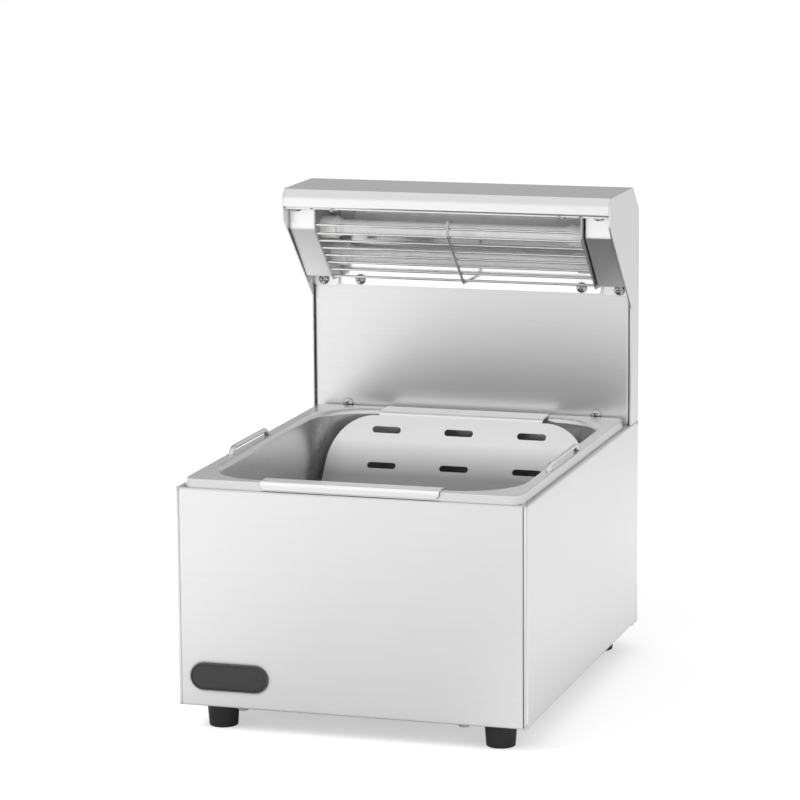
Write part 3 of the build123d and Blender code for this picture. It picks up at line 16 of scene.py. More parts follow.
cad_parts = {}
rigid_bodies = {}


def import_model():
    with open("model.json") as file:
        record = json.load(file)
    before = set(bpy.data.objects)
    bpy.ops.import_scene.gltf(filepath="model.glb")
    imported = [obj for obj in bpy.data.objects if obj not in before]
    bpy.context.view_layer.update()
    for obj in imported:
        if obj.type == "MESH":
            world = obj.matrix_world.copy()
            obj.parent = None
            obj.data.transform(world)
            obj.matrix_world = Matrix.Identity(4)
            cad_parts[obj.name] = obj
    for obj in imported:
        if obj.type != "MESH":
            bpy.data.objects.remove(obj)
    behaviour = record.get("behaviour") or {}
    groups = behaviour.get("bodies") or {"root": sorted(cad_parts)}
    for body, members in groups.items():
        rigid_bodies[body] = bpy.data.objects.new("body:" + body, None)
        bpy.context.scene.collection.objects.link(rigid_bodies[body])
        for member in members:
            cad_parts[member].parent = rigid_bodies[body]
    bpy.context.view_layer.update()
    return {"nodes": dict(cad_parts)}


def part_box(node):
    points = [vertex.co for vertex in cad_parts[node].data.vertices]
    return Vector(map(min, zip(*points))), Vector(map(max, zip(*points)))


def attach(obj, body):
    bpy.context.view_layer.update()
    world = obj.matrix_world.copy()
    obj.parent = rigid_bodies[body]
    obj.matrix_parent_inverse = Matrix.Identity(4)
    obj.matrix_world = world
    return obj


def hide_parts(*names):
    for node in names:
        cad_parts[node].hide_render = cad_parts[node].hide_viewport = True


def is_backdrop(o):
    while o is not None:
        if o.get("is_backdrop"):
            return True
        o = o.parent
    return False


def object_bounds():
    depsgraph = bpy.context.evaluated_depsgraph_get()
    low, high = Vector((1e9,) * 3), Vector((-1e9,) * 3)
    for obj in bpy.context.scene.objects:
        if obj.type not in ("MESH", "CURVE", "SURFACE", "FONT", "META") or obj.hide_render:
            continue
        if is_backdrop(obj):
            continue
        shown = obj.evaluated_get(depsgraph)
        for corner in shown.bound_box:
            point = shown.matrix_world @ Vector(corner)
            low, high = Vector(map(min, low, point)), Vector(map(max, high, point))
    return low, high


LOG = logging.getLogger("chip_warmer")
MM = 0.001
SEED = 7
JOIN_DISTANCE = 0.001 * MM
SHEET_ANGLE = 30.0
PLACE_DIGITS = 5
NOISE_START, NOISE_END = 0.3, 0.7
# Painted shade in close corners: ambient occlusion samples, and the span of it that is spread from full shade
# to none.
PAINTED_SHADE_SAMPLES = 8
PAINTED_SHADE_START, PAINTED_SHADE_END = 0.25, 0.9

Colour = tuple[float, float, float]
Place = tuple[float, float, float]
Stops = tuple[tuple[float, float], ...]
Socket = bpy.types.NodeSocket
Inputs = dict[str | int, Socket | float | str | Colour | Vector]
BLACK: Colour = (0.0, 0.0, 0.0)


class Grain(Enum):
    """Way that the fine brushing of a sheet runs."""

    ALONG_X = 0
    ALONG_Y = 1
    ALONG_Z = 2

    def stretch(self, along: float, across: float) -> Vector:
        """Noise frequency per metre on each axis."""
        scale = Vector((across, across, across))
        scale[self.value] = along
        return scale


class Level(Enum):
    """The two tubes of the lamp unit."""

    UPPER = "upper"
    LOWER = "lower"


# ---------------------------------------- node trees
def grey(level: float) -> Colour:
    """A grey as a colour."""
    return (level, level, level)


def shade(colour: Colour, factor: float) -> Colour:
    """A colour made darker or lighter."""
    return tuple(min(1.0, c * factor) for c in colour)


class Wiring:
    """A node tree that starts empty and is filled one node at a time."""

    def __init__(self, tree: bpy.types.NodeTree) -> None:
        """Empty a tree.

        Args:
            tree: The tree that is filled.
        """
        self.tree = tree
        tree.nodes.clear()

    def fill(self, node: bpy.types.Node, inputs: Inputs) -> None:
        """Lead sockets to a node's inputs, or set them to constants.

        Args:
            node: The node.
            inputs: What goes into each input, by its name or number.
        """
        for key, value in inputs.items():
            if isinstance(value, Socket):
                self.tree.links.new(value, node.inputs[key])
            else:
                node.inputs[key].default_value = (*value, 1.0) if isinstance(value, tuple) else value

    def add(self, kind: str, inputs: Inputs | None = None) -> bpy.types.Node:
        """Add a node.

        Args:
            kind: The node's type.
            inputs: What goes into its inputs.

        Returns:
            The new node.
        """
        node = self.tree.nodes.new(kind)
        self.fill(node, inputs or {})
        return node

    def spread(self, value: Socket, low: float | Socket, high: float,
               start: float = NOISE_START, end: float = NOISE_END) -> Socket:
        """Bring a value from start..end to low..high."""
        return self.add("ShaderNodeMapRange", {"Value": value, "From Min": start, "From Max": end,
                                               "To Min": low, "To Max": high}).outputs["Result"]

    def blend(self, factor: Socket, first: Colour | Socket, last: Colour | Socket) -> Socket:
        """Mix two colours.

        Args:
            factor: Share of the last colour.
            first: The colour at 0.
            last: The colour at 1.

        Returns:
            The mixed colour.
        """
        node = self.add("ShaderNodeMix")
        node.data_type = "RGBA"
        self.fill(node, {0: factor, 6: first, 7: last})
        return node.outputs[2]

    def graded(self, value: Socket, stops: Stops) -> Socket:
        """Grey at a value.

        Args:
            value: The value.
            stops: Value and grey of each stop, from low to high.

        Returns:
            The grey, which runs level beyond the first and the last stop.
        """
        low, high = stops[0][0], stops[-1][0]
        node = self.add("ShaderNodeValToRGB", {"Fac": self.spread(value, 0.0, 1.0, low, high)})
        elements = node.color_ramp.elements
        while len(elements) > 1:
            elements.remove(elements[-1])
        for count, (place, level) in enumerate(stops):
            stop = elements[0] if count == 0 else elements.new((place - low) / (high - low))
            stop.position = (place - low) / (high - low)
            stop.color = (*grey(level), 1.0)
        return node.outputs["Color"]


class ShaderTree(Wiring):
    """One material's node tree with a Principled shader at its end."""

    def __init__(self, name: str) -> None:
        """Start the material.

        Args:
            name: The material's name.
        """
        self.material = bpy.data.materials.new(name)
        self.material.use_nodes = True
        super().__init__(self.material.node_tree)
        self.shader = self.add("ShaderNodeBsdfPrincipled")
        self.add("ShaderNodeOutputMaterial", {"Surface": self.shader.outputs[0]})
        self.coordinates = self.add("ShaderNodeTexCoord").outputs["Object"]

    def noise(self, stretch: Sequence[float], detail: float = 2.0, distortion: float = 0.0) -> Socket:
        """Noise on Object coordinates.

        Args:
            stretch: Frequency per metre on each axis.
            detail: Octaves added to it.
            distortion: How far the pattern is bent.

        Returns:
            The noise's value.
        """
        mapping = self.add("ShaderNodeMapping", {"Vector": self.coordinates, "Scale": Vector(stretch)})
        return self.add("ShaderNodeTexNoise", {"Vector": mapping.outputs[0], "Scale": 1.0, "Detail": detail,
                                               "Distortion": distortion}).outputs["Fac"]

    def sum(self, first: Socket, second: Socket, share: float) -> Socket:
        """Add two values.

        Args:
            first: The value that counts in full.
            second: The value of which a share counts.
            share: The share.

        Returns:
            Their sum.
        """
        node = self.add("ShaderNodeMath")
        node.operation = "MULTIPLY_ADD"
        self.fill(node, {0: second, 1: share, 2: first})
        return node.outputs[0]

    def painted_crevice_shade(self, colour: Socket, shade_reach: float, depth: float) -> Socket:
        """Paint shade into a colour where other faces come close, as in seams and under rims.

        Args:
            colour: The colour in the open.
            shade_reach: How near the other faces are, in metres.
            depth: Share of the colour that is lost to painted shade in a closed corner.

        Returns:
            The darkened colour.
        """
        near = self.add("ShaderNodeAmbientOcclusion", {"Distance": shade_reach})
        near.samples = PAINTED_SHADE_SAMPLES
        unshaded_share = self.spread(near.outputs["AO"], 1.0 - depth, 1.0, PAINTED_SHADE_START, PAINTED_SHADE_END)
        return self.blend(unshaded_share, BLACK, colour)

    def painted_shade_by_height(self, stops: Stops) -> Socket:
        """Share of a colour that is kept at each height as painted shade, by stops of height in metres and
        share.
        """
        return self.graded(self.add("ShaderNodeSeparateXYZ", {0: self.coordinates}).outputs["Z"], stops)

    def bump(self, height: Socket, depth: float, strength: float) -> None:
        """Lead a height to the shader's normal.

        Args:
            height: The height's value from 0 to 1.
            depth: Its depth in metres.
            strength: Share of it that shows.
        """
        node = self.add("ShaderNodeBump", {"Height": height, "Distance": depth, "Strength": strength})
        self.fill(self.shader, {"Normal": node.outputs["Normal"]})


# ---------------------------------------- finishes
class Finish(Protocol):
    """A finish that can be made into a material."""

    name: str

    def build(self) -> bpy.types.Material:
        """Make the material."""


Wears = tuple[tuple[Finish, tuple[str, ...]], ...]


@dataclass(frozen=True)
class BrushedSteel:
    """Stainless sheet with fine brushing, a faint uneven polish and painted shade in close corners."""

    name: str
    grain: Grain
    colour: Colour = (0.80, 0.80, 0.80)
    roughness: float = 0.32
    streak: float = 0.022
    cloud: float = 0.02
    relief: float = 0.025
    uneven: float = 0.03
    # Share of colour lost to painted shade in seams and close corners.
    seam_shade: float = 0.85
    # Share of colour lost to a second, wider painted shade near the floor and under rims, and how far it
    # reaches.
    under: float = 0.0
    shade_reach: float = 4.0 * MM
    under_shade_reach: float = 28.0 * MM
    line_density: float = 2200.0
    line_stretch: float = 9.0
    broad_density: float = 2200.0 / 6
    broad_stretch: float = 2.5
    broad_share: float = 0.35
    cloud_density: float = 7.0
    half_span: float = 0.35
    rough_start: float = 0.4
    rough_end: float = 0.95
    line_depth: float = 0.03 * MM

    def build(self) -> bpy.types.Material:
        """Make the material."""
        tree = ShaderTree(self.name)
        fine = tree.noise(self.grain.stretch(self.line_stretch, self.line_density), 3.0)
        broad = tree.noise(self.grain.stretch(self.broad_stretch, self.broad_density), 2.0)
        clouds = tree.noise((self.cloud_density,) * 3, 2.0, 0.4)
        lines = tree.sum(fine, broad, self.broad_share)
        cloud_share = self.cloud / self.streak
        middle = (1.0 + self.broad_share + cloud_share) / 2
        factor = tree.spread(tree.sum(lines, clouds, cloud_share), 0.0, 1.0,
                             middle - self.half_span, middle + self.half_span)
        colour = tree.blend(factor, shade(self.colour, 1 - self.streak), shade(self.colour, 1 + self.streak))
        # Painted shade in seams and wherever other faces come close.
        colour = tree.painted_crevice_shade(colour, self.shade_reach, self.seam_shade)
        # A second, wider painted shade near the floor and under rims.
        if self.under:
            colour = tree.painted_crevice_shade(colour, self.under_shade_reach, self.under)
        rough = tree.spread(lines, self.roughness - self.uneven / 2, self.roughness + self.uneven,
                            self.rough_start, self.rough_end)
        tree.fill(tree.shader, {"Base Color": colour, "Roughness": rough, "Metallic": 1.0})
        tree.bump(fine, self.line_depth, self.relief)
        return tree.material


@dataclass(frozen=True)
class DrawnSteel:
    """Deep-drawn or rolled sheet: smooth satin with soft clouds and hair scratches, with painted shade by
    height and in close corners.
    """

    name: str
    colour: Colour = (0.78, 0.78, 0.78)
    roughness: float = 0.24
    cloud: float = 0.05
    scratch: float = 0.02
    hair: float = 0.15
    metal: float = 0.85
    shade_reach: float = 4.0 * MM
    # Share of colour lost to painted shade in seams and close corners.
    seam_shade: float = 0.8
    # Painted shade and light by height: stops of height in metres and the share of colour kept.
    painted_height_shade: Stops = ()
    cloud_density: float = 16.0
    hair_density: Place = (60.0, 900.0, 500.0)
    hair_depth: float = 0.02 * MM
    relief: float = 0.015

    def build(self) -> bpy.types.Material:
        """Make the material."""
        tree = ShaderTree(self.name)
        clouds = tree.noise((self.cloud_density,) * 3, 3.0, 0.8)
        hairs = tree.noise(self.hair_density, 2.0, 1.5)
        mixed = tree.sum(clouds, hairs, self.hair)
        start, end = NOISE_START + self.hair / 2, NOISE_END + self.hair / 2
        colour = tree.blend(tree.spread(mixed, 0.0, 1.0, start, end), shade(self.colour, 1 - self.cloud),
                            shade(self.colour, 1 + self.cloud))
        # Painted shade by height.
        if self.painted_height_shade:
            colour = tree.blend(tree.painted_shade_by_height(self.painted_height_shade), BLACK, colour)
        # Painted shade in seams and close corners.
        if self.seam_shade:
            colour = tree.painted_crevice_shade(colour, self.shade_reach, self.seam_shade)
        rough = tree.spread(mixed, self.roughness - self.scratch, self.roughness + self.scratch, start, end)
        tree.fill(tree.shader, {"Base Color": colour, "Roughness": rough, "Metallic": self.metal})
        tree.bump(hairs, self.hair_depth, self.relief)
        return tree.material


@dataclass(frozen=True)
class BrightMetal:
    """Plated or polished metal with a faint haze and painted shade in close corners."""

    name: str
    colour: Colour = (0.86, 0.86, 0.87)
    roughness: float = 0.10
    haze: float = 0.08
    haze_density: float = 90.0
    darkest: float = 0.93
    shade_reach: float = 2.5 * MM
    # Share of colour lost to painted shade where other faces come close.
    seam_shade: float = 0.6

    def build(self) -> bpy.types.Material:
        """Make the material."""
        tree = ShaderTree(self.name)
        haze = tree.noise((self.haze_density,) * 3, 3.0, 0.6)
        plated = tree.blend(tree.spread(haze, 0.0, 1.0), shade(self.colour, self.darkest), self.colour)
        # The base colour carries painted shade in close corners.
        tree.fill(tree.shader, {
            "Base Color": tree.painted_crevice_shade(plated, self.shade_reach, self.seam_shade), "Metallic": 1.0,
            "Roughness": tree.spread(haze, self.roughness, self.roughness + self.haze)})
        return tree.material


@dataclass(frozen=True)
class Moulded:
    """Moulded plastic, rubber or ceramic with a fine surface grain."""

    name: str
    colour: Colour
    roughness: float = 0.45
    spread: float = 0.12
    grain_density: float = 700.0
    relief: float = 0.25
    coat: float = 0.0
    coat_roughness: float = 0.12
    cloud_density: float = 55.0
    cloud_share: float = 0.8
    grain_start: float = 0.6
    grain_end: float = 1.2
    smoother: float = 0.05
    rougher: float = 0.08
    grain_depth: float = 0.05 * MM

    def build(self) -> bpy.types.Material:
        """Make the material."""
        tree = ShaderTree(self.name)
        grain = tree.noise((self.grain_density,) * 3, 3.0)
        clouds = tree.noise((self.cloud_density,) * 3, 2.0, 0.5)
        mixed = tree.sum(grain, clouds, self.cloud_share)
        factor = tree.spread(mixed, 0.0, 1.0, self.grain_start, self.grain_end)
        colour = tree.blend(factor, shade(self.colour, 1 - self.spread), shade(self.colour, 1 + self.spread))
        rough = tree.spread(mixed, self.roughness - self.smoother, self.roughness + self.rougher,
                            self.grain_start, self.grain_end)
        tree.fill(tree.shader, {"Base Color": colour, "Roughness": rough, "Coat Weight": self.coat,
                                "Coat Roughness": self.coat_roughness})
        tree.bump(grain, self.grain_depth, self.relief)
        return tree.material


@dataclass(frozen=True)
class MilkyQuartz:
    """Satin quartz that lets a little of the coil show through."""

    name: str = "milky_quartz"
    colour: Colour = (0.98, 0.98, 0.98)
    roughness: float = 0.5
    rough_span: float = 0.05
    ring_density: Place = (140.0, 12.0, 12.0)
    darkest: float = 0.93
    lightest: float = 1.05
    clearness: float = 0.03
    refraction: float = 1.46

    def build(self) -> bpy.types.Material:
        """Make the material."""
        tree = ShaderTree(self.name)
        rings = tree.noise(self.ring_density, 3.0, 0.3)
        milk = tree.blend(tree.spread(rings, 0.0, 1.0), shade(self.colour, self.darkest),
                          shade(self.colour, self.lightest))
        rough = tree.spread(rings, self.roughness - self.rough_span, self.roughness + self.rough_span)
        tree.fill(tree.shader, {"Base Color": milk, "Roughness": rough, "IOR": self.refraction,
                                "Transmission Weight": self.clearness})
        return tree.material


# under: a wider painted shade within 28 mm of other faces and the floor.
CASING_FRONT = BrushedSteel("casing_front_steel", Grain.ALONG_X, under=0.7)
CASING_SIDE = BrushedSteel("casing_side_steel", Grain.ALONG_Z, under=0.7)
WELD_STEEL = BrushedSteel("ground_weld_steel", Grain.ALONG_Z, seam_shade=0.0)
COLUMN = BrushedSteel("column_steel", Grain.ALONG_Z, seam_shade=0.25)
HOOD = BrushedSteel("hood_steel", Grain.ALONG_X, colour=(0.88, 0.88, 0.88), roughness=0.28,
                    streak=0.010, relief=0.004, uneven=0.006, under=0.75)
SPLASH = BrushedSteel("splash_steel", Grain.ALONG_X, roughness=0.33, streak=0.03, relief=0.04, seam_shade=0.3)
INNER_SHEET = BrushedSteel("inner_sheet_steel", Grain.ALONG_Y, colour=(0.66, 0.66, 0.67), roughness=0.40)
# The lamp covers get painted shade by height, deepest just below 0.35 m, with full colour above.
COVER = DrawnSteel("lamp_cover_steel", colour=(0.95, 0.95, 0.95), roughness=0.32, cloud=0.02, metal=0.86,
                   painted_height_shade=((0.300, 0.95), (0.349, 0.64), (0.352, 1.0)))
PAN_STEEL = DrawnSteel("pan_steel", colour=(0.74, 0.74, 0.74), roughness=0.26, cloud=0.03, metal=0.80,
                       seam_shade=0.0)
# The insert gets painted shade by height: dark low in the pan, lighter higher up, and full colour on the lip
# above 0.1955 m.
INSERT_STEEL = DrawnSteel("insert_steel", colour=(0.98, 0.98, 0.98), roughness=0.30, cloud=0.025, metal=0.86,
                          painted_height_shade=((0.148, 0.28), (0.174, 0.82), (0.193, 0.80), (0.1955, 1.0)))
# The reflector's painted shade reaches 10 mm, to darken it under the fascia.
REFLECTOR_MIRROR = BrightMetal("polished_reflector", colour=(0.90, 0.90, 0.90), roughness=0.12, haze=0.05,
                               shade_reach=10.0 * MM, seam_shade=0.8)
WIRE = BrightMetal("bright_wire", colour=(0.80, 0.80, 0.80), roughness=0.045, haze=0.03, seam_shade=0.75)
END_PLATE = DrawnSteel("end_plate_steel", colour=(0.54, 0.54, 0.54), roughness=0.36, metal=0.90, seam_shade=0.2)
SUPPORT_WIRE = BrightMetal("support_wire", colour=(0.48, 0.48, 0.48), roughness=0.14)
BRIGHT_PLATE = BrightMetal("bright_screw_plate", colour=(0.62, 0.62, 0.63), roughness=0.14)
SCREW_PLATE = BrightMetal("screw_plate", colour=(0.42, 0.42, 0.43), roughness=0.12)
RUBBER = Moulded("foot_rubber", (0.010, 0.010, 0.011), roughness=0.58)
BADGE_FACE = Moulded("badge_face", (0.030, 0.030, 0.031), roughness=0.36, spread=0.08, relief=0.08)
BADGE_RIM = Moulded("badge_rim", (0.018, 0.018, 0.018), roughness=0.16, spread=0.1, relief=0.03, coat=0.6)
BLACK_PLASTIC = Moulded("black_plastic", (0.02, 0.02, 0.021), roughness=0.38)
ROCKER_PLASTIC = Moulded("rocker_plastic", (0.012, 0.012, 0.013), roughness=0.24, relief=0.06, coat=0.3)
BLOCK_PLASTIC = Moulded("block_plastic", (0.62, 0.60, 0.55), roughness=0.5)
CERAMIC = Moulded("glazed_ceramic", (0.90, 0.90, 0.89), roughness=0.34, spread=0.05, relief=0.08, coat=0.35)
SLEEVE = Moulded("wire_sleeve", (0.55, 0.54, 0.50), roughness=0.62, grain_density=1500.0, relief=0.5)
QUARTZ = MilkyQuartz()
COIL_WIRE = BrightMetal("coil_wire", colour=(0.30, 0.28, 0.26), roughness=0.35)
BRASS = BrightMetal("brass", colour=(0.72, 0.52, 0.24), roughness=0.26)


class PaintShop:
    """Makes each finish once and puts it on pieces."""

    def __init__(self, nodes: dict[str, bpy.types.Object]) -> None:
        """Keep the CAD nodes.

        Args:
            nodes: The frame's objects by node name.
        """
        self.nodes = nodes
        self.made: dict[str, bpy.types.Material] = {}

    def material(self, finish: Finish) -> bpy.types.Material:
        """The finish's material, made when it is first asked for."""
        if finish.name not in self.made:
            self.made[finish.name] = finish.build()
        return self.made[finish.name]

    def coat(self, piece: bpy.types.Object, finish: Finish) -> None:
        """Give a piece one finish."""
        piece.data.materials.clear()
        piece.data.materials.append(self.material(finish))
        LOG.info("%s wears %s", piece.name, finish.name)


@dataclass
class SubAssembly:
    """Part of the warmer whose CAD nodes are dressed together."""

    shop: PaintShop
    wears: ClassVar[Wears] = ()

    def dress(self) -> None:
        """Give the CAD nodes their finishes."""
        for finish, names in self.wears:
            for name in names:
                self.shop.coat(self.shop.nodes[name], finish)


# ---------------------------------------- mesh helpers
def link_mesh(name: str, mesh: bpy.types.Mesh) -> bpy.types.Object:
    """Put a mesh into the scene as an object at the origin."""
    piece = bpy.data.objects.new(name, mesh)
    bpy.context.scene.collection.objects.link(piece)
    return piece


def smooth_piece(name: str, shape: bmesh.types.BMesh, angle: float) -> bpy.types.Object:
    """Turn a bmesh into a smooth-shaded object.

    Args:
        name: The object's name.
        shape: The bmesh, which is freed.
        angle: Edges sharper than this stay sharp, in degrees.

    Returns:
        The new object.
    """
    mesh = bpy.data.meshes.new(name)
    shape.to_mesh(mesh)
    shape.free()
    mesh.shade_smooth()
    mesh.set_sharp_from_angle(angle=math.radians(angle))
    return link_mesh(name, mesh)


def closed_piece(name: str, shape: bmesh.types.BMesh, angle: float = 40.0) -> bpy.types.Object:
    """Turn a closed bmesh into a smooth-shaded object with outward faces."""
    bmesh.ops.recalc_face_normals(shape, faces=shape.faces)
    return smooth_piece(name, shape, angle)


def merged(node: bpy.types.Object) -> bmesh.types.BMesh:
    """Join the loose triangles of a CAD node.

    Args:
        node: The node, which stays as it is.

    Returns:
        Its joined mesh.
    """
    shape = bmesh.new()
    shape.from_mesh(node.data)
    bmesh.ops.remove_doubles(shape, verts=shape.verts, dist=JOIN_DISTANCE)
    return shape


def baked(source: bpy.types.Object, name: str) -> bpy.types.Object:
    """Make a plain mesh of an object as its modifiers leave it.

    Args:
        source: The object, which is removed.
        name: Name of the result.

    Returns:
        The plain object.
    """
    graph = bpy.context.evaluated_depsgraph_get()
    mesh = bpy.data.meshes.new_from_object(source.evaluated_get(graph))
    bpy.data.objects.remove(source)
    mesh.name = name
    return link_mesh(name, mesh)


def evened(piece: bpy.types.Object) -> bpy.types.Object:
    """Shade the bends of a sheet smooth and leave its flat faces flat.

    Args:
        piece: The sheet; it is used up.

    Returns:
        The sheet under the same name.
    """
    piece.data.shade_smooth()
    piece.data.set_sharp_from_angle(angle=math.radians(SHEET_ANGLE))
    even = piece.modifiers.new("even", "WEIGHTED_NORMAL")
    even.keep_sharp = True
    even.weight = 100
    name = piece.name
    piece.name = name + "_uneven"
    return baked(piece, name)


def carved(blank: bpy.types.Object, cutter: bpy.types.Object, name: str) -> bpy.types.Object:
    """Cut one solid out of another.

    Args:
        blank: The solid that is cut; it is used up.
        cutter: The solid that is taken out; it is removed.
        name: Name of the result.

    Returns:
        The cut solid as a plain mesh.
    """
    cut = blank.modifiers.new("cut", "BOOLEAN")
    cut.operation = "DIFFERENCE"
    cut.solver = "EXACT"
    cut.use_self = True
    cut.object = cutter
    made = baked(blank, name)
    bpy.data.objects.remove(cutter)
    return evened(made)


def ring_shell(shape: bmesh.types.BMesh, rings: Sequence[Sequence[Vector]], closed: bool) -> None:
    """Skin rings of equal length.

    Args:
        shape: The bmesh that the skin is added to.
        rings: The points of each ring.
        closed: Whether the last ring joins the first; if not, both ends are filled.
    """
    loops = [[shape.verts.new(point) for point in ring] for ring in rings]
    pairs = list(zip(loops, loops[1:]))
    if closed:
        pairs.append((loops[-1], loops[0]))
    for near, far in pairs:
        for i in range(len(near)):
            j = (i + 1) % len(near)
            shape.faces.new((near[i], near[j], far[j], far[i]))
    if not closed:
        shape.faces.new(loops[0])
        shape.faces.new(loops[-1])


def add_block(shape: bmesh.types.BMesh, across: Sequence[float], away: Sequence[float],
              up: Sequence[float]) -> None:
    """Add a box.

    Args:
        shape: The bmesh that it is added to.
        across: Where it starts and ends on X.
        away: Where it starts and ends on Y.
        up: Where it starts and ends on Z.
    """
    (left, right), (front, back) = across, away
    corners = ((left, front), (right, front), (right, back), (left, back))
    ring_shell(shape, [[Vector((x, y, z)) for x, y in corners] for z in up], closed=False)


class GeometryTree(Wiring):
    """Geometry Nodes tree with named inputs that ends in Realize Instances and Set Material."""

    def __init__(self, name: str, inputs: dict[str, str]) -> None:
        """Start the tree.

        Args:
            name: The tree's name.
            inputs: Kind of socket of each named input.
        """
        super().__init__(bpy.data.node_groups.new(name, "GeometryNodeTree"))
        face = self.tree.interface
        face.new_socket("Geometry", in_out="INPUT", socket_type="NodeSocketGeometry")
        for key, kind in inputs.items():
            face.new_socket(key, in_out="INPUT", socket_type="NodeSocket" + kind)
        face.new_socket("Geometry", in_out="OUTPUT", socket_type="NodeSocketGeometry")
        self.given = self.add("NodeGroupInput").outputs
        self.end = self.add("NodeGroupOutput")

    def close(self, geometry: Socket) -> None:
        """End the tree with real geometry that wears the given material."""
        real = self.add("GeometryNodeRealizeInstances", {"Geometry": geometry})
        dressed = self.add("GeometryNodeSetMaterial", {
            "Geometry": real.outputs[0], "Material": self.given["Material"]})
        self.fill(self.end, {0: dressed.outputs[0]})

    def run(self, seed_mesh: bpy.types.Mesh, name: str,
            values: dict[str, float | Vector | bpy.types.ID]) -> bpy.types.Object:
        """Run the tree on a mesh.

        Args:
            seed_mesh: The mesh that it starts from.
            name: Name of the finished piece.
            values: A value for each named input.

        Returns:
            The piece as a plain mesh.
        """
        source = link_mesh(name + "_seed", seed_mesh)
        modifier = source.modifiers.new("pattern", "NODES")
        modifier.node_group = self.tree
        for item in self.tree.interface.items_tree:
            if item.item_type == "SOCKET" and item.in_out == "INPUT" and item.name in values:
                modifier[item.identifier] = values[item.name]
        return baked(source, name)


# ---------------------------------------- casing
@dataclass
class Casing(SubAssembly):
    """Box of the warmer with its inner sheets, feet and badge."""

    rim_width: float = 1.5 * MM
    rim_lip: float = 0.5 * MM
    rim_curve: Stops = ((0.0, 2.2), (0.12, 0.9), (0.35, 0.1), (0.5, 0.0), (0.7, 0.15), (0.92, 0.7),
                        (1.0, 1.6))
    face_curve: Stops = ((1.0, 1.5), (1.3, 1.2), (2.2, 1.0), (4.0, 0.8))
    badge_angle: float = 50.0
    end_steps: int = 40
    seam_inset: float = 2.1 * MM
    seam_widths: tuple[float, float] = (0.3 * MM, 0.9 * MM)
    seam_depth: float = 0.8 * MM
    weld_spans: Stops = ((0.05 * MM, 3.3 * MM), (1.15 * MM, 4.6 * MM), (0.6 * MM, 3.2 * MM))
    wears: ClassVar[Wears] = (
        (CASING_FRONT, ("rear_panel",)),
        (CASING_SIDE, ("left_side_panel", "right_side_panel")),
        (INNER_SHEET, ("base_plate", "well_frame", "rear_deck", "wiring_shield")),
        (RUBBER, ("foot_front_left", "foot_front_right", "foot_rear_left", "foot_rear_right")),
        (SCREW_PLATE, ("foot_screws", "foot_nuts")),
        (BRASS, ("earth_stud",)))

    def build_front(self) -> None:
        """Front panel with the open groove beside each side panel."""
        low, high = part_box("front_panel")
        panel = smooth_piece("front_panel_blank", merged(self.shop.nodes["front_panel"]), SHEET_ANGLE)
        cutter = bmesh.new()
        for middle, width in zip((low.x + self.seam_inset, high.x - self.seam_inset), self.seam_widths):
            add_block(cutter, (middle - width / 2, middle + width / 2), (low.y - MM, low.y + self.seam_depth),
                      (low.z - MM, high.z + MM))
        front = carved(panel, closed_piece("front_seams", cutter), "front_panel_seamed")
        self.shop.coat(front, CASING_FRONT)
        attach(front, "casing")
        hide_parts("front_panel")

    def build_corners(self) -> None:
        """Ground welds that fill the open notches at the casing's corners."""
        low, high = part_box("front_panel")
        left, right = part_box("left_side_panel")[0].x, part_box("right_side_panel")[1].x
        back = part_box("rear_panel")[1]
        welds = bmesh.new()
        for corner in itertools.product((left, right), (low.y, back.y), (low.z, high.z)):
            sides = []
            for edge, first, (near, far) in zip(corner, (left, low.y, low.z), self.weld_spans):
                way = 1.0 if edge == first else -1.0
                sides.append((edge + way * near, edge + way * far))
            add_block(welds, *(sorted(side) for side in sides))
        piece = closed_piece("corner_welds", welds)
        self.shop.coat(piece, WELD_STEEL)
        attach(piece, "casing")

    def badge_ring(self, inset: float, y: float) -> list[Vector]:
        """Outline of the badge.

        Args:
            inset: How far it is drawn in.
            y: Its depth.

        Returns:
            Its points.
        """
        low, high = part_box("badge")
        middle = (low + high) / 2
        radius = (high.z - low.z) / 2
        straight = (high.x - low.x) / 2 - radius
        points = []
        for side, first in ((1, -90.0), (-1, 90.0)):
            for step in range(self.end_steps + 1):
                turn = math.radians(first + 180.0 * step / self.end_steps)
                points.append(Vector((middle.x + side * straight + (radius - inset) * math.cos(turn),
                                      y, middle.z + (radius - inset) * math.sin(turn))))
        return points

    def build_badge(self) -> None:
        """Bare oval badge: a glossy raised rim round a satin face."""
        low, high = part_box("badge")
        for name, curve, finish, closed in (("badge_rim", self.rim_curve, BADGE_RIM, True),
                                            ("badge_face", self.face_curve, BADGE_FACE, False)):
            profile = [(curve[0][0] * self.rim_width, high.y)]
            profile += [(inset * self.rim_width, low.y + drop * self.rim_lip) for inset, drop in curve]
            if closed:
                profile.append((curve[-1][0] * self.rim_width, high.y))
            shape = bmesh.new()
            ring_shell(shape, [self.badge_ring(inset, y) for inset, y in profile], closed)
            piece = closed_piece(name, shape, self.badge_angle)
            self.shop.coat(piece, finish)
            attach(piece, "casing")
            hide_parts("badge")


# ---------------------------------------- pan
@dataclass
class PanSet(SubAssembly):
    """Lift-out pan with its two bails and the slotted insert."""

    wears: ClassVar[Wears] = (
        (PAN_STEEL, ("pan",)),
        (INSERT_STEEL, ("chip_insert",)),
        (WIRE, ("bail_left", "bail_right")))


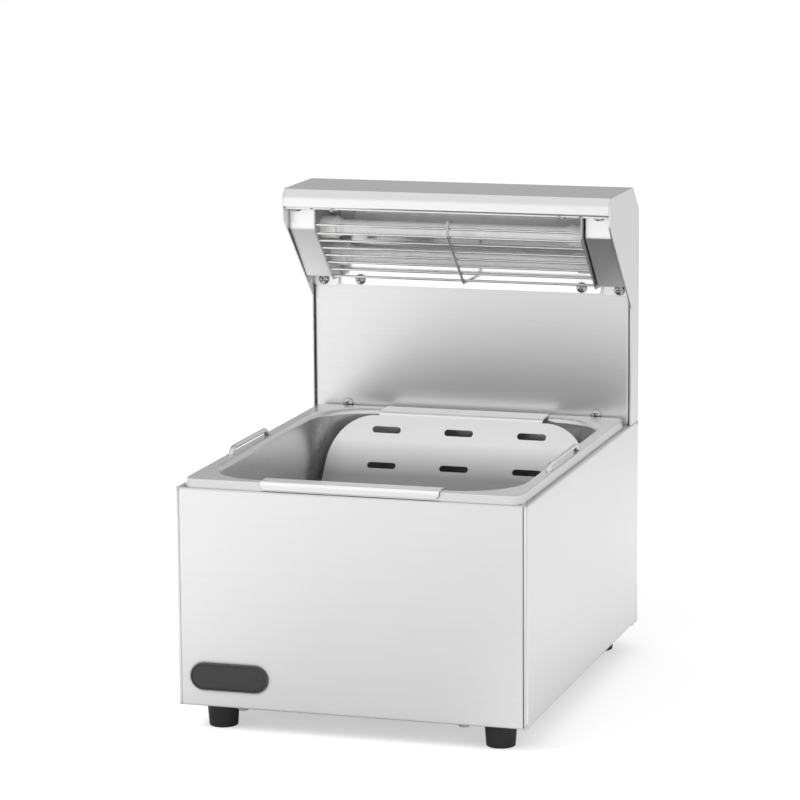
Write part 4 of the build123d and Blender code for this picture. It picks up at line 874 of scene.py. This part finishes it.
# ---------------------------------------- column and lamp unit
@dataclass
class Column(SubAssembly):
    """Rear column and hood."""

    edge_width: float = 6.0 * MM
    left_shift: float = 1.4 * MM
    right_shift: float = 0.25 * MM
    wears: ClassVar[Wears] = ((COLUMN, ("left_cheek", "right_cheek", "column_back")), (HOOD, ("hood_cover",)))

    def build_splash(self) -> None:
        """Splash panel whose turned edges sit close to the cheeks."""
        low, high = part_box("splash_panel")
        panel = smooth_piece("splash_panel_fitted", merged(self.shop.nodes["splash_panel"]), SHEET_ANGLE)
        for vertex in panel.data.vertices:
            if vertex.co.x < low.x + self.edge_width:
                vertex.co.x -= self.left_shift
            elif vertex.co.x > high.x - self.edge_width:
                vertex.co.x += self.right_shift
        panel = evened(panel)
        self.shop.coat(panel, SPLASH)
        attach(panel, "casing")
        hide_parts("splash_panel")


@dataclass
class LampUnit(SubAssembly):
    """Two quartz heaters in front of the polished reflector, behind a wire guard."""

    coil_wire: float = 0.35 * MM
    coil_pitch: float = 1.5 * MM
    coil_points: int = 14
    wire_sides: int = 6
    bead: float = 1.25 * MM
    smallest_bead: float = 0.88
    bead_rounds: int = 3
    wears: ClassVar[Wears] = (
        (REFLECTOR_MIRROR, ("reflector",)),
        (END_PLATE, ("left_end_plate", "right_end_plate")),
        (COVER, ("left_lamp_cover", "right_lamp_cover")),
        (QUARTZ, ("upper_quartz_tube", "lower_quartz_tube")),
        (CERAMIC, ("upper_left_tube_cap", "upper_right_tube_cap", "lower_left_tube_cap",
                   "lower_right_tube_cap")),
        (WIRE, ("wire_guard",)),
        (SUPPORT_WIRE, ("guard_support",)))

    def coil_tree(self) -> GeometryTree:
        """Tree that winds a wire into a helix along X."""
        tree = GeometryTree("heating_coil", {"Turns": "Float", "Radius": "Float", "Length": "Float",
                                             "Wire": "Float", "Centre": "Vector", "Material": "Material"})
        given = tree.given
        spiral = tree.add("GeometryNodeCurveSpiral", {
            "Resolution": self.coil_points, "Rotations": given["Turns"], "Start Radius": given["Radius"],
            "End Radius": given["Radius"], "Height": given["Length"]})
        section = tree.add("GeometryNodeCurvePrimitiveCircle", {
            "Resolution": self.wire_sides, "Radius": given["Wire"]})
        wire = tree.add("GeometryNodeCurveToMesh", {
            "Curve": spiral.outputs[0], "Profile Curve": section.outputs[0], "Fill Caps": True})
        turned = tree.add("GeometryNodeTransform", {
            "Geometry": wire.outputs[0], "Rotation": Vector((0.0, math.pi / 2, 0.0))})
        placed = tree.add("GeometryNodeTransform", {
            "Geometry": turned.outputs[0], "Translation": given["Centre"]})
        tree.close(placed.outputs[0])
        return tree

    def build_coils(self) -> None:
        """Wind a real coil in place of each tube's envelope."""
        tree = self.coil_tree()
        for level in Level:
            node = f"{level.value}_heating_coil"
            low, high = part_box(node)
            length = high.x - low.x - 2 * self.coil_wire
            centre = Vector((low.x + self.coil_wire, (low.y + high.y) / 2, (low.z + high.z) / 2))
            coil = tree.run(bpy.data.meshes.new(node), f"{level.value}_coil_winding", {
                "Turns": length / self.coil_pitch, "Radius": (high.z - low.z) / 2 - self.coil_wire,
                "Length": length, "Wire": self.coil_wire, "Centre": centre,
                "Material": self.shop.material(COIL_WIRE)})
            coil.data.shade_smooth()
            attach(coil, "casing")
            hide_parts(node)
            LOG.info("%s has %d faces", coil.name, len(coil.data.polygons))

    def guard_points(self) -> list[Vector]:
        """Places where the guard's wires meet its support and its end plates."""
        low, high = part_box("guard_support")
        support = Vector(((low.x + high.x) / 2, 0.0, 0.0))
        return [place for wire in islands("wire_guard")
                for place in (wire.middle + support,
                              Vector((wire.low.x + self.bead / 2, wire.middle.y, wire.middle.z)),
                              Vector((wire.high.x - self.bead / 2, wire.middle.y, wire.middle.z)))]

    def build_welds(self) -> None:
        """Small weld beads of slightly uneven size on the guard's wires."""
        tree = GeometryTree("guard_welds", {"Radius": "Float", "Seed": "Int", "Material": "Material"})
        ball = tree.add("GeometryNodeMeshIcoSphere", {
            "Subdivisions": self.bead_rounds, "Radius": tree.given["Radius"]})
        size = tree.add("FunctionNodeRandomValue", {
            2: self.smallest_bead, 3: 1.0, "Seed": tree.given["Seed"]})
        beads = tree.add("GeometryNodeInstanceOnPoints", {
            "Points": tree.given["Geometry"], "Instance": ball.outputs[0], "Scale": size.outputs[1]})
        tree.close(beads.outputs[0])
        mesh = bpy.data.meshes.new("guard_welds_points")
        mesh.from_pydata(self.guard_points(), [], [])
        welds = tree.run(mesh, "guard_welds", {
            "Radius": self.bead, "Seed": SEED, "Material": self.shop.material(WIRE)})
        welds.data.shade_smooth()
        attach(welds, "casing")
        LOG.info("%s has %d faces", welds.name, len(welds.data.polygons))


# ---------------------------------------- fasteners
@dataclass(frozen=True)
class Island:
    """Box of one solid in a CAD node, and the mean of its mesh's points."""

    low: Vector
    high: Vector
    mean: Vector

    @property
    def middle(self) -> Vector:
        """Middle of the box."""
        return (self.low + self.high) / 2


def islands(node: str) -> list[Island]:
    """Separate solids of a CAD node, found on a merged copy of its mesh.

    Args:
        node: The CAD node's name.

    Returns:
        One island for each solid, in order of place.
    """
    shape = merged(bpy.data.objects[node])
    left = set(shape.verts)
    found = []
    while left:
        first = left.pop()
        group, edge = [first], [first]
        while edge:
            near = [e.other_vert(v) for v in edge for e in v.link_edges]
            edge = [v for v in dict.fromkeys(near) if v in left]
            left.difference_update(edge)
            group.extend(edge)
        places = [v.co for v in group]
        low, high = (Vector([pick(p[i] for p in places) for i in range(3)]) for pick in (min, max))
        found.append(Island(low, high, sum(places, Vector()) / len(places)))
    shape.free()
    return sorted(found, key=lambda island: [round(edge, PLACE_DIGITS) for edge in island.low.zyx])


@dataclass
class Fasteners(SubAssembly):
    """Pan-head screws with a cross recess in place of each CAD group."""

    head_radius: float = 4.3 * MM
    head_height: float = 2.3 * MM
    crown: Stops = ((0.35, 1.0), (0.62, 0.955), (0.82, 0.83), (0.94, 0.62), (0.99, 0.36), (1.0, 0.12),
                    (0.985, 0.0))
    shank_radius: float = 1.95 * MM
    shank_length: float = 6.0 * MM
    tip_bevel: float = 0.4 * MM
    recess_width: float = 1.15 * MM
    recess_length: float = 5.0 * MM
    recess_depth: float = 1.5 * MM
    recess_taper: float = 0.62
    recess_over: float = 0.2 * MM
    turns: int = 36
    head_angle: float = 35.0
    groups: tuple[str, ...] = ("splash_screws", "reflector_screws", "lamp_cover_screws",
                               "rear_screws", "base_screws")

    def head_profile(self) -> list[tuple[float, float]]:
        """Radius and height of the screw's outline, from the crown to the shank's tip."""
        shank, tip, bevel = self.shank_radius, -self.shank_length, self.tip_bevel
        return [(radius * self.head_radius, height * self.head_height) for radius, height in self.crown] + [
            (shank, 0.0), (shank, tip + bevel), (shank - bevel, tip)]

    def recess(self) -> bpy.types.Object:
        """Tapered cross that is cut from the head."""
        cross = bmesh.new()
        top = self.head_height + self.recess_over
        low = self.head_height - self.recess_depth
        for turn in (0.0, math.pi / 2):
            rings = []
            for z, share in ((low, self.recess_taper), (top, 1.0)):
                half_l, half_w = self.recess_length / 2 * share, self.recess_width / 2 * share
                corners = ((-half_l, -half_w), (half_l, -half_w), (half_l, half_w), (-half_l, half_w))
                rings.append([Matrix.Rotation(turn, 3, "Z") @ Vector((x, y, z)) for x, y in corners])
            ring_shell(cross, rings, closed=False)
        return closed_piece("cross_recess", cross)

    def pattern(self) -> bpy.types.Object:
        """One screw that stands on the origin with its head upwards."""
        body = bmesh.new()
        ways = [math.tau * step / self.turns for step in range(self.turns)]
        ring_shell(body, [[Vector((radius * math.cos(way), radius * math.sin(way), z)) for way in ways]
                          for radius, z in self.head_profile()], closed=False)
        screw = closed_piece("screw_pattern", body, self.head_angle)
        return carved(screw, self.recess(), "screw_blank")

    def seats(self, node: str) -> list[tuple[Vector, Vector]]:
        """Find the screws of a CAD node.

        Args:
            node: The node's name.

        Returns:
            Place under the head, and way that the head faces, for each screw.
        """
        places = []
        for screw in islands(node):
            size = screw.high - screw.low
            axis = min(range(3), key=lambda i: size[i])
            facing = Vector((0.0, 0.0, 0.0))
            facing[axis] = 1.0 if screw.mean[axis] > screw.middle[axis] else -1.0
            crown = screw.high[axis] if facing[axis] > 0 else screw.low[axis]
            seat = screw.middle.copy()
            seat[axis] = crown - facing[axis] * self.head_height
            places.append((seat, facing))
        return places

    def tree(self) -> GeometryTree:
        """Tree that stands a screw on each point."""
        tree = GeometryTree("screws", {"Screw": "Object", "Seed": "Int", "Material": "Material"})
        blank = tree.add("GeometryNodeObjectInfo", {"Object": tree.given["Screw"]})
        facing = tree.add("GeometryNodeInputNamedAttribute", {"Name": "facing"})
        facing.data_type = "FLOAT_VECTOR"
        upright = tree.add("FunctionNodeAlignRotationToVector", {"Vector": facing.outputs[0]})
        angle = tree.add("FunctionNodeRandomValue", {3: math.pi / 2, "Seed": tree.given["Seed"]})
        spin = tree.add("ShaderNodeCombineXYZ", {"Z": angle.outputs[1]})
        screws = tree.add("GeometryNodeInstanceOnPoints", {
            "Points": tree.given["Geometry"], "Instance": blank.outputs["Geometry"],
            "Rotation": upright.outputs[0]})
        turned = tree.add("GeometryNodeRotateInstances", {
            "Instances": screws.outputs[0], "Rotation": spin.outputs[0], "Local Space": True})
        tree.close(turned.outputs[0])
        return tree

    def build(self) -> None:
        """Set the screws of every group."""
        blank = self.pattern()
        tree = self.tree()
        for count, node in enumerate(self.groups):
            seats = self.seats(node)
            mesh = bpy.data.meshes.new(node + "_points")
            mesh.from_pydata([seat for seat, _ in seats], [], [])
            facing = mesh.attributes.new("facing", "FLOAT_VECTOR", "POINT")
            for i, (_, way) in enumerate(seats):
                facing.data[i].vector = way
            screws = tree.run(mesh, node.replace("_screws", "_screw_set"), {
                "Screw": blank, "Seed": SEED + count, "Material": self.shop.material(
                    BRIGHT_PLATE if node == "splash_screws" else SCREW_PLATE)})
            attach(screws, "casing")
            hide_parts(node)
            LOG.info("%s holds %d screws, %d faces", screws.name, len(seats), len(screws.data.polygons))
        bpy.data.objects.remove(blank)


# ---------------------------------------- rear fittings
@dataclass
class RearFittings(SubAssembly):
    """Switch, cord inlet and the wiring behind the pan."""

    wears: ClassVar[Wears] = (
        (BLACK_PLASTIC, ("switch_housing", "cable_gland", "gland_nut")),
        (ROCKER_PLASTIC, ("switch_rocker",)),
        (BLOCK_PLASTIC, ("terminal_block",)),
        (SLEEVE, ("lamp_wiring", "switch_wiring")))


# ---------------------------------------- studio
@dataclass(frozen=True)
class Lamp:
    """Square lamp that faces the object and shows in no reflection."""

    name: str
    place: Place
    size: float
    power: float
    aim: Place = (0.0, 0.0, 0.15)

    def add(self) -> None:
        """Put the lamp into the scene."""
        data = bpy.data.lights.new(self.name, "AREA")
        data.size = self.size
        data.energy = self.power
        lamp = bpy.data.objects.new(self.name, data)
        lamp.visible_glossy = False
        lamp.location = self.place
        lamp.rotation_mode = "QUATERNION"
        lamp.rotation_quaternion = (Vector(self.aim) - Vector(self.place)).to_track_quat("-Z", "Y")
        bpy.context.scene.collection.objects.link(lamp)


@dataclass
class Studio:
    """Camera, lamps, surroundings and floor."""

    camera_place: Place = (0.8060, -2.6639, 0.7362)
    yaw: float = -0.29898
    pitch: float = 0.17992
    roll: float = -0.00743
    focal_pixels: float = 3597.48
    picture_pixels: float = 800.0
    sensor: float = 36.0
    far_end: float = 200.0
    floor_half: float = 40.0
    floor_colour: float = 0.80
    floor_glow: float = 0.46
    # The floor's glow and grey in reflections and bounced light, by place: painted light and shade, dimmer
    # close to the object.
    glow_across: Stops = ((-0.45, 0.25), (-0.30, 0.21), (-0.12, 0.09), (0.05, 0.10), (0.20, 0.40),
                          (0.35, 0.31))
    glow_away: Stops = ((0.18, 0.70), (0.40, 1.0), (0.80, 1.0), (1.20, 0.72), (2.40, 0.82))
    reflected_shade_across: Stops = ((-0.45, 0.84), (-0.30, 0.83), (-0.08, 0.66), (0.05, 0.66), (0.20, 0.84),
                          (0.50, 0.70))
    around: float = 0.66
    depth_greys: Stops = ((-1.0, 0.92), (-0.20, 0.88), (0.04, 0.82), (0.28, 0.40), (0.84, 0.45))
    side_start: float = 0.12
    side_end: float = 0.34
    side_grey: float = 0.86
    lamps: tuple[Lamp, ...] = (Lamp("key", (-2.0, -2.2, 2.6), 1.8, 76.0),
                               Lamp("fill", (2.4, -1.6, 1.6), 2.2, 14.0))

    def add_camera(self) -> None:
        """Camera at the height and turn that look down on the right front corner."""
        ahead = Vector((math.sin(self.yaw) * math.cos(self.pitch),
                        math.cos(self.yaw) * math.cos(self.pitch), -math.sin(self.pitch)))
        level = Vector((math.cos(self.yaw), -math.sin(self.yaw), 0.0))
        above = level.cross(ahead)
        right = level * math.cos(self.roll) + above * math.sin(self.roll)
        up = above * math.cos(self.roll) - level * math.sin(self.roll)
        data = bpy.data.cameras.new("camera")
        data.sensor_width = self.sensor
        data.lens = self.focal_pixels / self.picture_pixels * self.sensor
        data.clip_end = self.far_end
        camera = bpy.data.objects.new("camera", data)
        turn = Matrix((right, up, -ahead)).transposed()
        camera.matrix_world = Matrix.Translation(self.camera_place) @ turn.to_4x4()
        bpy.context.scene.collection.objects.link(camera)
        bpy.context.scene.camera = camera

    def add_world(self) -> None:
        """White behind the object; bright in front of it and greyer behind it in reflections."""
        world = bpy.data.worlds.new("studio")
        bpy.context.scene.world = world
        world.use_nodes = True
        sky = Wiring(world.node_tree)
        rays = sky.add("ShaderNodeLightPath").outputs
        place = sky.add("ShaderNodeTexCoord").outputs["Generated"]
        way = sky.add("ShaderNodeSeparateXYZ", {0: place}).outputs
        aside = sky.spread(way["X"], 0.0, 1.0, self.side_start, self.side_end)
        mirrored = sky.blend(aside, sky.graded(way["Y"], self.depth_greys), grey(self.side_grey))
        shown = sky.add("ShaderNodeBackground", {"Color": grey(self.around)})
        for ray, colour in (("Is Glossy Ray", mirrored), ("Is Camera Ray", grey(1.0))):
            other = sky.add("ShaderNodeBackground", {"Color": colour})
            shown = sky.add("ShaderNodeMixShader", {0: rays[ray], 1: shown.outputs[0], 2: other.outputs[0]})
        sky.add("ShaderNodeOutputWorld", {"Surface": shown.outputs[0]})

    def floor_material(self) -> bpy.types.Material:
        """Pale floor that is white to the camera and keeps the object's shadow; to other rays its glow and
        grey change by place, as painted light and shade.
        """
        material = bpy.data.materials.new("floor")
        material.use_nodes = True
        tree = Wiring(material.node_tree)
        seen = tree.add("ShaderNodeLightPath").outputs["Is Camera Ray"]
        place = tree.add("ShaderNodeTexCoord").outputs["Object"]
        across = tree.add("ShaderNodeSeparateXYZ", {0: place}).outputs["X"]
        away = tree.add("ShaderNodeVectorMath", {0: place})
        away.operation = "LENGTH"
        mirrored = tree.add("ShaderNodeMath", {0: tree.graded(across, self.glow_across),
                                               1: tree.graded(away.outputs["Value"], self.glow_away)})
        mirrored.operation = "MULTIPLY"
        # Painted light and shade in the floor that the object reflects.
        reflected_shade = tree.graded(across, self.reflected_shade_across)
        matt = tree.add("ShaderNodeBsdfDiffuse", {
            "Color": tree.spread(seen, reflected_shade, self.floor_colour, 0.0, 1.0)})
        glow = tree.add("ShaderNodeEmission", {
            "Strength": tree.spread(seen, mirrored.outputs[0], self.floor_glow, 0.0, 1.0)})
        both = tree.add("ShaderNodeAddShader", {0: matt.outputs[0], 1: glow.outputs[0]})
        tree.add("ShaderNodeOutputMaterial", {"Surface": both.outputs[0]})
        return material

    def add_floor(self) -> None:
        """Wide flat floor under the feet."""
        half = self.floor_half
        mesh = bpy.data.meshes.new("floor")
        mesh.from_pydata([(-half, -half, 0.0), (half, -half, 0.0), (half, half, 0.0), (-half, half, 0.0)],
                         [], [(0, 1, 2, 3)])
        floor = link_mesh("floor", mesh)
        floor.data.materials.append(self.floor_material())
        floor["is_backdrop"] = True

    def build(self) -> None:
        """Set up the whole studio."""
        self.add_camera()
        self.add_world()
        self.add_floor()
        for lamp in self.lamps:
            lamp.add()
        bpy.context.scene.view_settings.view_transform = "Standard"


def corners() -> dict[str, list[float]]:
    """Lowest and highest corner of the shown object, as plain lists."""
    low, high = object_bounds()
    return {"low": list(low), "high": list(high)}


def main() -> None:
    """Dress the frame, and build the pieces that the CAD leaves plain."""
    logging.basicConfig(level=logging.INFO, format="%(name)s: %(message)s")
    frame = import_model()
    shop = PaintShop(frame["nodes"])
    Studio().build()
    casing = Casing(shop)
    casing.dress()
    casing.build_front()
    casing.build_corners()
    casing.build_badge()
    PanSet(shop).dress()
    column = Column(shop)
    column.dress()
    column.build_splash()
    lamps = LampUnit(shop)
    lamps.dress()
    lamps.build_coils()
    lamps.build_welds()
    Fasteners(shop).build()
    RearFittings(shop).dress()


if __name__ == "__main__":
    main()
